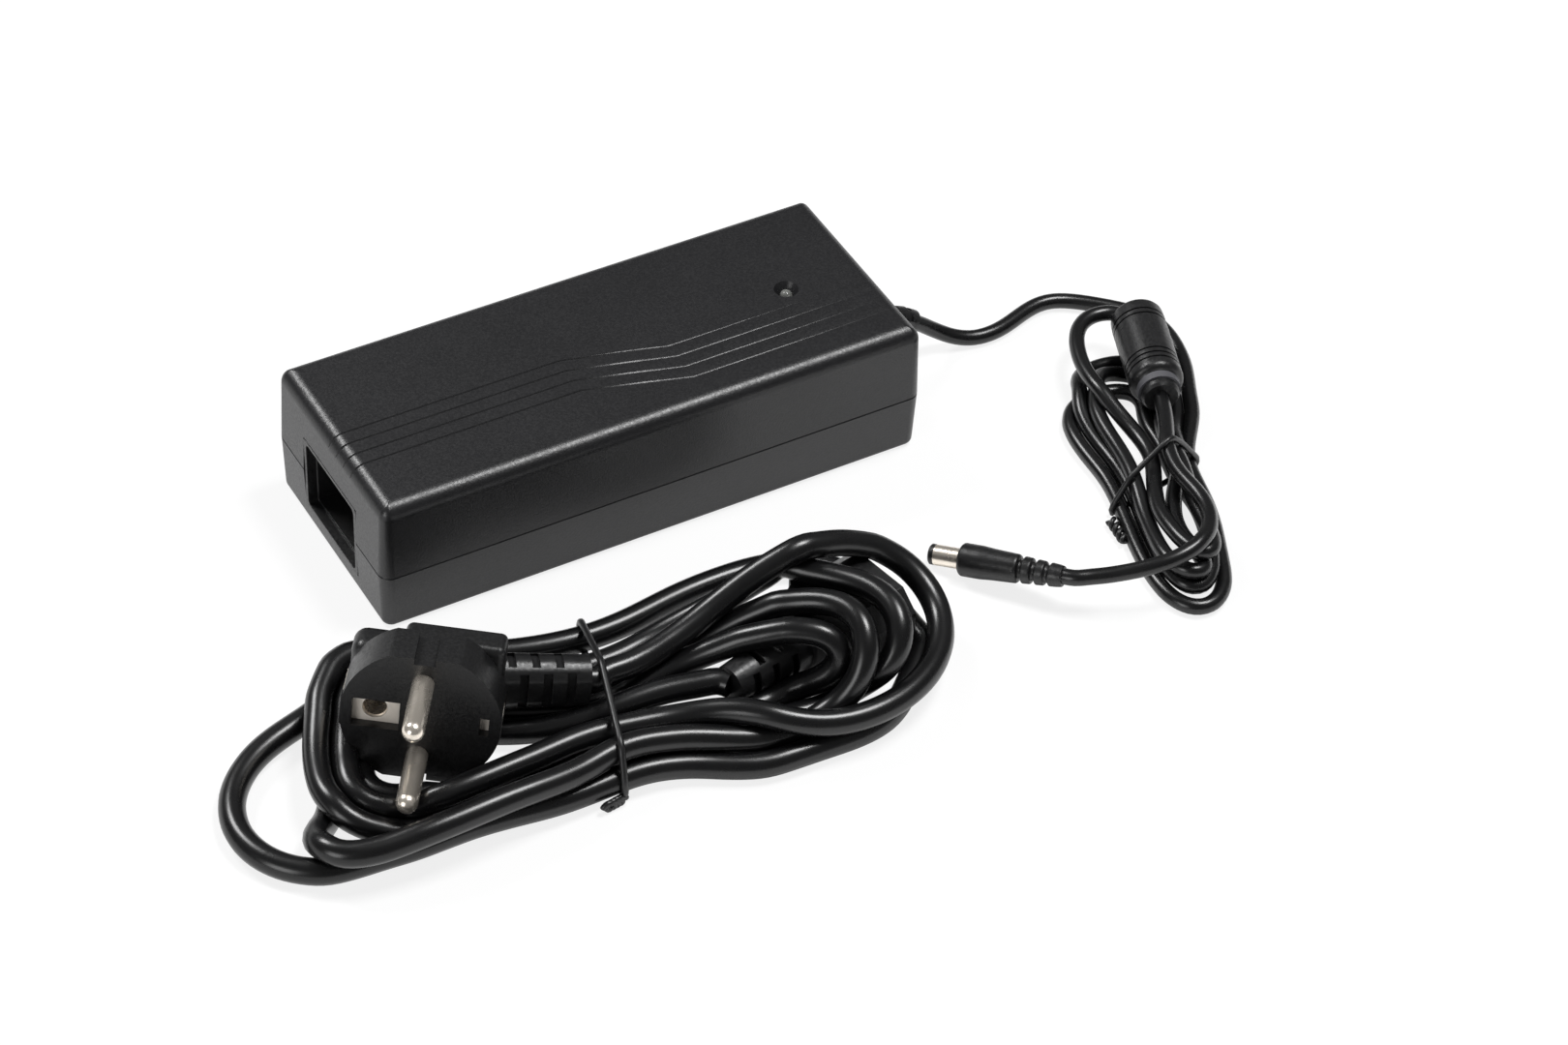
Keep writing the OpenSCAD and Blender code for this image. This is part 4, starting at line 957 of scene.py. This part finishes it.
class ADAPTER_OT_ferrite(bpy.types.Operator):
    """Turn the moulded sleeve over the ferrite, with its rings, neck and collar"""

    bl_idname = "adapter.ferrite"
    bl_label = "Ferrite sleeve"

    def execute(self, context):
        end, r, bore = FERRITE_L / 2, FERRITE_R, FERRITE_BORE
        profile = [(-end, bore), *corner(-end + 1.3, r - 1.4, 1.3, 180, 90)]
        for t in FERRITE_RINGS:
            profile += ring_groove(t, r)
        profile += corner(8.6, r - 1.7, 1.7, 90, 20)
        # The neck below is narrower than the core inside up to 12.6, so the core shows through there
        profile += [(10.9, 4.9), (11.3, 4.2), (12.0, 4.0), (12.3, 4.6), (13.9, 4.5), (end, 4.0), (end, bore)]
        bm = lathe(profile, FERRITE_AT, FERRITE_TURN)
        sleeve = piece("ferrite_case_finished", bm, "moulded_pvc", "adapter", ["ferrite_case"], angle=28,
                       weighted=False)
        for name in ("sleeve_hole_upper", "sleeve_hole_lower"):
            spot, out = on_surface(name, sleeve)
            bm = bmesh.new()
            bmesh.ops.create_cone(bm, cap_ends=True, segments=24, radius1=HOLE_R * MM,
                                  radius2=HOLE_R * MM, depth=0.1 * MM)
            turn = out.to_track_quat("Z", "Y").to_matrix().to_4x4()
            bmesh.ops.transform(bm, matrix=Matrix.Translation(spot) @ turn, verts=bm.verts)
            piece(name, bm, "moulded_pvc", "adapter")
        return {"FINISHED"}


DISC_BACK, DISC_SHOWN = -12, -10.2   # back of the plug's round front in the CAD, and as it is shown
HUB_R = 9.7                          # radius inside which the plug's front keeps its thickness
PLUG_BLOCKS = (                      # low and high corners and edge radius, in the plug's frame
    ((-18.6, -16.8, -10.5), (DISC_SHOWN + 0.6, 15.4, 10.2), 3.0),   # back housing
    ((-17.0, -5.7, -8), (DISC_SHOWN + 0.6, 16.2, 13.6), 1.6),       # its raised part
    ((-2.3, -17.25, -3.7), (-0.05, -14.7, 3.7), 0.15),              # bezels over the windows' ends
    ((-2.3, 14.6, -2.4), (-0.05, 17.25, 2.4), 0.15),
)


class ADAPTER_OT_mains_plug(bpy.types.Operator):
    """Shape the mains plug's moulding, its back housing and its earth strip"""

    bl_idname = "adapter.mains_plug"
    bl_label = "Mains plug"

    def execute(self, context):
        to_local = PLUG_TURN.transposed()

        def thinner_front(bm, back):
            for v in bm.verts:
                q = to_local @ (v.co / MM - PLUG_AT)
                if DISC_BACK - 0.2 < q.x < back and math.hypot(q.y, q.z) > HUB_R:
                    q.x = back
                    v.co = (PLUG_TURN @ q + PLUG_AT) * MM

        bm = from_node("mains_plug_body")
        thinner_front(bm, DISC_SHOWN)
        body = piece("mains_plug_body_finished", bm, "moulded_pvc", "mains_lead", ["mains_plug_body"])
        round_edges(body, 0.35)
        bm = from_node("mains_earth_strip")
        thinner_front(bm, DISC_SHOWN + 0.3)
        piece("mains_earth_strip_finished", bm, "satin_nickel", "mains_lead", ["mains_earth_strip"])
        bm = bmesh.new()
        for low, high, radius in PLUG_BLOCKS:
            rounded_block(bm, low, high, radius)
        bmesh.ops.recalc_face_normals(bm, faces=bm.faces)
        into_row(bm, PLUG_AT, PLUG_TURN)
        piece("mains_plug_back", bm, "moulded_pvc", "mains_lead", angle=40)
        return {"FINISHED"}


# ---- housing covers, drawn again as clean mouldings
HALF_L, HALF_W, TALL, SPLIT = 68.85, 28.0, 35.2, 15.3   # housing and its parting line, as in the CAD
TOP_LEAN, BASE_LEAN = 0.6, 0.5                         # how far each cover's walls lean in
TOP_ROUND, BASE_ROUND = 3.6, 1.7                       # radii along the top and bottom edges
UPRIGHT_ROUND = 3.0                                    # radius of the four upright corners
SEAM = 0.22                                            # chamfer on each cover at the parting line
ROOM, ROOM_ROUND = 2.9, 1.1                            # from the outside to the room inside, its corners
CEILING, BASE_FLOOR = 32.9, 2.3
INLET_HALF_W, INLET_LOW, INLET_HIGH = 13.7, 4.8, 24.9  # opening for the inlet
LINE_HALF_W, LINE_DEPTH = 0.26, 0.3                    # lines moulded into the top
LINE_BENDS = (-11.0, 13.7)                             # where the lines slant from one row to the next
LINES_END, LINES_FADE = 66.0, 64.5                     # how far the lines are cut, and pressed in
LINE_ROWS = [(0.4 - 3.73 * row, -6.1 - 3.97 * row) for row in range(4)]   # before and after the bends


def plan_ring(bm, inset, z, radius):
    """One loop of a cover's skin, starting at the inlet opening's far side."""
    x, y = HALF_L - inset, HALF_W - inset
    corners = [(-x, -INLET_HALF_W)]
    for cx, cy, start in ((-1, -1, 180), (1, -1, 270), (1, 1, 0), (-1, 1, 90)):
        corners += corner(cx * (x - radius), cy * (y - radius), radius, start, start + 90, 8)
    corners.append((-x, INLET_HALF_W))
    return [bm.verts.new((px, py, z)) for px, py in corners]


def skin(bm, rings, open_rows):
    """Faces between neighbouring loops, less the part where the inlet opens."""
    for k, (one, other) in enumerate(zip(rings, rings[1:])):
        for j in range(len(one)):
            after = (j + 1) % len(one)
            if after or k not in open_rows:
                bm.faces.new((one[j], one[after], other[after], other[j]))


def inlet_edge(bm, outer, inner):
    """The opening's three cut faces, from the loops' rows beside it, outside and inside."""
    for side in (0, -1):
        bm.faces.new([ring[side] for ring in outer] + [ring[side] for ring in reversed(inner)])
    bm.faces.new((outer[-1][0], outer[-1][-1], inner[-1][-1], inner[-1][0]))


def moulded_lines(bm):
    """Cuts the four shallow lines that run along the top and over the inlet end's rounded edge."""
    def near_top(faces):
        return [f for f in faces if all(v.co.z > TALL - TOP_ROUND - 0.01 for v in f.verts)]

    def cut(faces, at, along):
        geom = list({g for f in faces for g in (*f.verts, *f.edges, f)})
        bmesh.ops.bisect_plane(bm, geom=geom, dist=1e-5, plane_co=at, plane_no=along)

    for x in LINE_BENDS:
        cut(near_top(bm.faces), (x, 0, 0), (1, 0, 0))
    first, second = LINE_BENDS
    for y0, y1 in LINE_ROWS:
        for low, high, start, end in ((-HALF_L, first, y0, y0), (first, second, y0, y1),
                                      (second, LINES_END, y1, y1)):
            for aside in (-LINE_HALF_W, 0, LINE_HALF_W):
                faces = [f for f in near_top(bm.faces) if low < f.calc_center_median().x < high]
                across = Vector((start - end, high - low, 0)).normalized()
                cut(faces, (low, start + aside, 0), across)
    bmesh.ops.remove_doubles(bm, verts=bm.verts, dist=1e-3)

    def middle_of_a_line(co):
        share = min(1, max(0, (co.x - first) / (second - first)))
        return min(abs(co.y - (y0 * (1 - share) + y1 * share)) for y0, y1 in LINE_ROWS) < 0.02

    for v in bm.verts:
        if v.co.z > TALL - TOP_ROUND + 0.9 and v.co.x < LINES_FADE and middle_of_a_line(v.co):
            v.co -= v.normal * LINE_DEPTH


def cover(rows, room):
    """A cover as a closed shell: its skin's loops as (inset, height) from the lowest up, and the heights
    of the room's loops inside. The third loop from the parting line is at the inlet opening's edge."""
    bm = bmesh.new()
    outer = [plan_ring(bm, inset, z, max(UPRIGHT_ROUND - inset, 0.2)) for inset, z in rows]
    inner = [plan_ring(bm, ROOM, z, ROOM_ROUND) for z in room]
    is_base = rows[-1][1] == SPLIT
    skin(bm, outer, (len(rows) - 3, len(rows) - 2) if is_base else (0, 1))
    skin(bm, inner, (1,) if is_base else (0,))
    if is_base:
        outer, inner = outer[::-1], inner[::-1]
    skin(bm, [inner[0], outer[0]], (0,))
    inlet_edge(bm, outer[:3], inner[:2])
    bm.faces.new(outer[-1])
    bm.faces.new(inner[-1])
    bmesh.ops.recalc_face_normals(bm, faces=bm.faces)
    return bm


def cover_piece(node, bm):
    """Turns a cover made in millimetres into its piece."""
    bmesh.ops.scale(bm, vec=(MM,) * 3, verts=bm.verts)
    return piece(node + "_finished", bm, "housing_plastic", "adapter", [node])


class ADAPTER_OT_covers(bpy.types.Operator):
    """Mould the housing's two covers, with their lean, rounded edges, parting line and inlet opening"""

    bl_idname = "adapter.covers"
    bl_label = "Housing covers"

    def execute(self, context):
        wall_top = TALL - TOP_ROUND
        inlet_lean = TOP_LEAN * (INLET_HIGH - SPLIT) / (wall_top - SPLIT)
        rows = [(SEAM, SPLIT), (0, SPLIT + SEAM), (inlet_lean, INLET_HIGH)]
        rows += [(TOP_LEAN + TOP_ROUND - out, z)
                 for out, z in corner(0, wall_top, TOP_ROUND, 0, 90, 9)]
        bm = cover(rows, (SPLIT, INLET_HIGH, CEILING))
        moulded_lines(bm)
        led_seat(cover_piece("top_cover", bm))

        inlet_lean = BASE_LEAN * (INLET_LOW - BASE_ROUND) / (SPLIT - BASE_ROUND)
        rows = [(BASE_LEAN + BASE_ROUND - out, z)
                for out, z in corner(0, BASE_ROUND, BASE_ROUND, -90, 0, 6)]
        rows += [(BASE_LEAN - inlet_lean, INLET_LOW), (0, SPLIT - SEAM), (SEAM, SPLIT)]
        cover_piece("bottom_cover", cover(rows, (BASE_FLOOR, INLET_LOW, SPLIT)))
        return {"FINISHED"}


LED_AT = (47.2, -0.8)                             # middle of the status lamp's seat on the top
LED_HOLE, LED_RIM, LED_DISH = 1.6, 2.9, 1.8       # radii of the hole and the dish's rim, dish's depth


def led_seat(top):
    """Cuts the status lamp's dished seat through the top cover's roof."""
    bm = bmesh.new()
    bmesh.ops.create_cone(bm, cap_ends=True, segments=40, radius1=LED_HOLE, radius2=LED_RIM,
                          depth=LED_DISH)
    bmesh.ops.translate(bm, vec=(*LED_AT, TALL - 0.89), verts=bm.verts)
    hole = bmesh.ops.create_cone(bm, cap_ends=True, segments=40, radius1=LED_HOLE, radius2=LED_HOLE,
                                 depth=3)
    bmesh.ops.translate(bm, vec=(*LED_AT, TALL - 3), verts=hole["verts"])
    bmesh.ops.scale(bm, vec=(MM,) * 3, verts=bm.verts)
    cutter = object_of("led_seat", bm)
    cut = top.modifiers.new("status lamp's seat", "BOOLEAN")
    cut.operation = "DIFFERENCE"
    cut.solver = "EXACT"
    cut.use_self = True
    cut.object = cutter
    top.modifiers.move(len(top.modifiers) - 1, 0)
    shape = bpy.data.meshes.new_from_object(
        top.evaluated_get(bpy.context.evaluated_depsgraph_get()))
    top.modifiers.clear()
    top.data = shape
    bpy.data.objects.remove(cutter)


# ---- operators
class AdapterSettings(bpy.types.PropertyGroup):
    """What a user of the adapter would change."""

    mains_cord_diameter: bpy.props.FloatProperty(
        name="Mains cord diameter", description="Diameter of the mains cord's round jacket in millimetres",
        default=6.0, min=5.4, max=6.0)
    dc_cord_diameter: bpy.props.FloatProperty(
        name="Low-voltage cord diameter", description="Diameter of the low-voltage cord in millimetres",
        default=3.8, min=3.4, max=3.8)
    lens: bpy.props.FloatProperty(
        name="Camera lens", description="Focal length of the camera on a 36 mm wide sensor",
        default=100.523, min=20, max=300, unit="CAMERA")
    floor_colour: bpy.props.FloatVectorProperty(
        name="Floor colour", description="Colour of the floor that the adapter lies on",
        default=(1.0, 1.0, 1.0), subtype="COLOR", size=3, min=0, max=1)
    key_power: bpy.props.FloatProperty(
        name="Key lamp power", description="Power of the soft lamp above and behind the adapter",
        default=10.0, min=0, max=100, unit="POWER")


def settings():
    """The scene's settings."""
    return bpy.context.scene.adapter


class ADAPTER_OT_mains_cord(bpy.types.Operator):
    """Lay the mains cord in its five turns through its tie"""

    bl_idname = "adapter.mains_cord"
    bl_label = "Mains cord"

    def execute(self, context):
        d = settings().mains_cord_diameter
        axis = PLUG_TURN @ PLUG_RELIEF_DIR
        root = PLUG_AT + PLUG_TURN @ PLUG_RELIEF
        tip = root + axis * (PLUG_RELIEF_L - 1)
        along = CONNECTOR_TURN @ Vector((1, 0, 0))
        # The connector's neck, block and relief, then the plug's front, back, relief and two pins
        obstacles = [
            off_box(CONNECTOR_AT, CONNECTOR_TURN, (19.5, -7.6, -9), (27, 7.6, 6.6)),
            off_box(CONNECTOR_AT, CONNECTOR_TURN, (27, -11.6, -9), (43.6, 11.6, 7.6)),
            off_capsule(CONNECTOR_AT + along, CONNECTOR_AT + along * 19, 4.2, 5.6),
            off_drum(PLUG_AT, PLUG_TURN, -11.5, -0.5, 16.3),
            off_box(PLUG_AT, PLUG_TURN, (-19.5, -13.6, -7.6), (-12, 12.6, 7.6)),
            off_capsule(root, tip, 6.2, 4.4),
        ]
        for z in PIN_PLACES:
            ends = [PLUG_AT + PLUG_TURN @ Vector((x, 0, z)) for x in (0, PIN_L)]
            obstacles.append(off_capsule(*ends, PIN_CLEAR, PIN_CLEAR))
        line = laid(MAINS_ROUTE, d, 2.2, (0.16, 0.06), 0.01, 14, obstacles)
        obj = cord_curve("mains_cord", line, d, "cord_pvc", "mains_lead", 1.5,
                         "mains_cord_start", "mains_cord_hank", "mains_cord_end")
        wire_tie("mains_cord_tie", line, d, (-38.6, -74.2, 0), (0.286, 0.958, 0), (-27, 27), 1.6,
                 ((-46.5, -98.5, 1.8), (-50.5, -99, 1.6)), "mains_lead")
        return {"FINISHED"}


class ADAPTER_OT_dc_cord(bpy.types.Operator):
    """Lay the low-voltage cord in its turns through its tie and its ferrite"""

    bl_idname = "adapter.dc_cord"
    bl_label = "Low-voltage cord"

    def execute(self, context):
        d = settings().dc_cord_diameter
        axis = FERRITE_TURN @ Vector((1, 0, 0))
        plug_axis = DC_AIM @ Vector((0, 0, 1))
        half = FERRITE_L / 2

        def in_ferrite(line):
            off = line - np.array(FERRITE_AT)
            along = off @ np.array(axis)
            aside = np.linalg.norm(off - along[:, None] * np.array(axis), axis=1)
            return (abs(along) < 15.5) & (aside < 2.5)

        def beside_ferrite(start, end, r0, r1):
            push = off_capsule(start, end, r0, r1)

            def guarded(line, free, r):
                inside = np.where(in_ferrite(line))[0]
                spare = free.copy()
                spare[max(inside.min() - 6, 0):inside.max() + 7] = False
                push(line, spare, r)

            return guarded

        obstacles = [
            beside_ferrite(FERRITE_AT - axis * 9, FERRITE_AT + axis * 8, FERRITE_R, FERRITE_R),
            beside_ferrite(FERRITE_AT + axis * 8, FERRITE_AT + axis * half, 6.0, 3.8),
            off_box((0, 0, 0), Matrix.Identity(3), (-60, -HALF_W, 0), (68.9, HALF_W, 36)),
            off_capsule(DC_TIP, DC_TIP + plug_axis * (DC_PLUG_L - 3), 3.2, 3.0),
        ]
        line = laid(DC_ROUTE, d, 1.5, (0.12, 0.03), 0.008, 4, obstacles, in_ferrite)
        obj = cord_curve("dc_cord", line, d, "cord_pvc", "adapter", 1.2,
                         "dc_cord_lead", "dc_cord_hank", "dc_cord_tail")
        wire_tie("dc_cord_tie", line, d, (106.2, -67.5, 0), (0.982, 0.191, 0), (-15, 15), 1.4,
                 ((94.2, -72, 1.6), (93.4, -79.5, 1.4)), "adapter")
        return {"FINISHED"}


class ADAPTER_PT_panel(bpy.types.Panel):
    """The adapter's settings and the operators that build it"""

    bl_idname = "ADAPTER_PT_panel"
    bl_label = "Laptop power adapter"
    bl_space_type = "VIEW_3D"
    bl_region_type = "UI"
    bl_category = "Adapter"

    def draw(self, context):
        for name in AdapterSettings.__annotations__:
            self.layout.prop(context.scene.adapter, name)
        for step in STEPS:
            self.layout.operator(step.bl_idname)


STEPS = (ADAPTER_OT_stage, ADAPTER_OT_finished_nodes, ADAPTER_OT_covers, ADAPTER_OT_ferrite,
         ADAPTER_OT_mains_plug, ADAPTER_OT_mains_cord, ADAPTER_OT_dc_cord, ADAPTER_OT_inner_parts)
CLASSES = (AdapterSettings, *STEPS, ADAPTER_PT_panel)


def register():
    """Registers the classes and the scene's settings."""
    for cls in CLASSES:
        bpy.utils.register_class(cls)
    bpy.types.Scene.adapter = bpy.props.PointerProperty(type=AdapterSettings)


def unregister():
    """Takes them out again."""
    del bpy.types.Scene.adapter
    for cls in reversed(CLASSES):
        bpy.utils.unregister_class(cls)


def main():
    """Builds the whole adapter."""
    register()
    for step in STEPS:
        group, name = step.bl_idname.split(".")
        if getattr(getattr(bpy.ops, group), name)() != {"FINISHED"}:
            raise RuntimeError(f"{step.bl_label} wasn't made")
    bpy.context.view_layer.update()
    write_points()


if __name__ == "__main__":
    main()
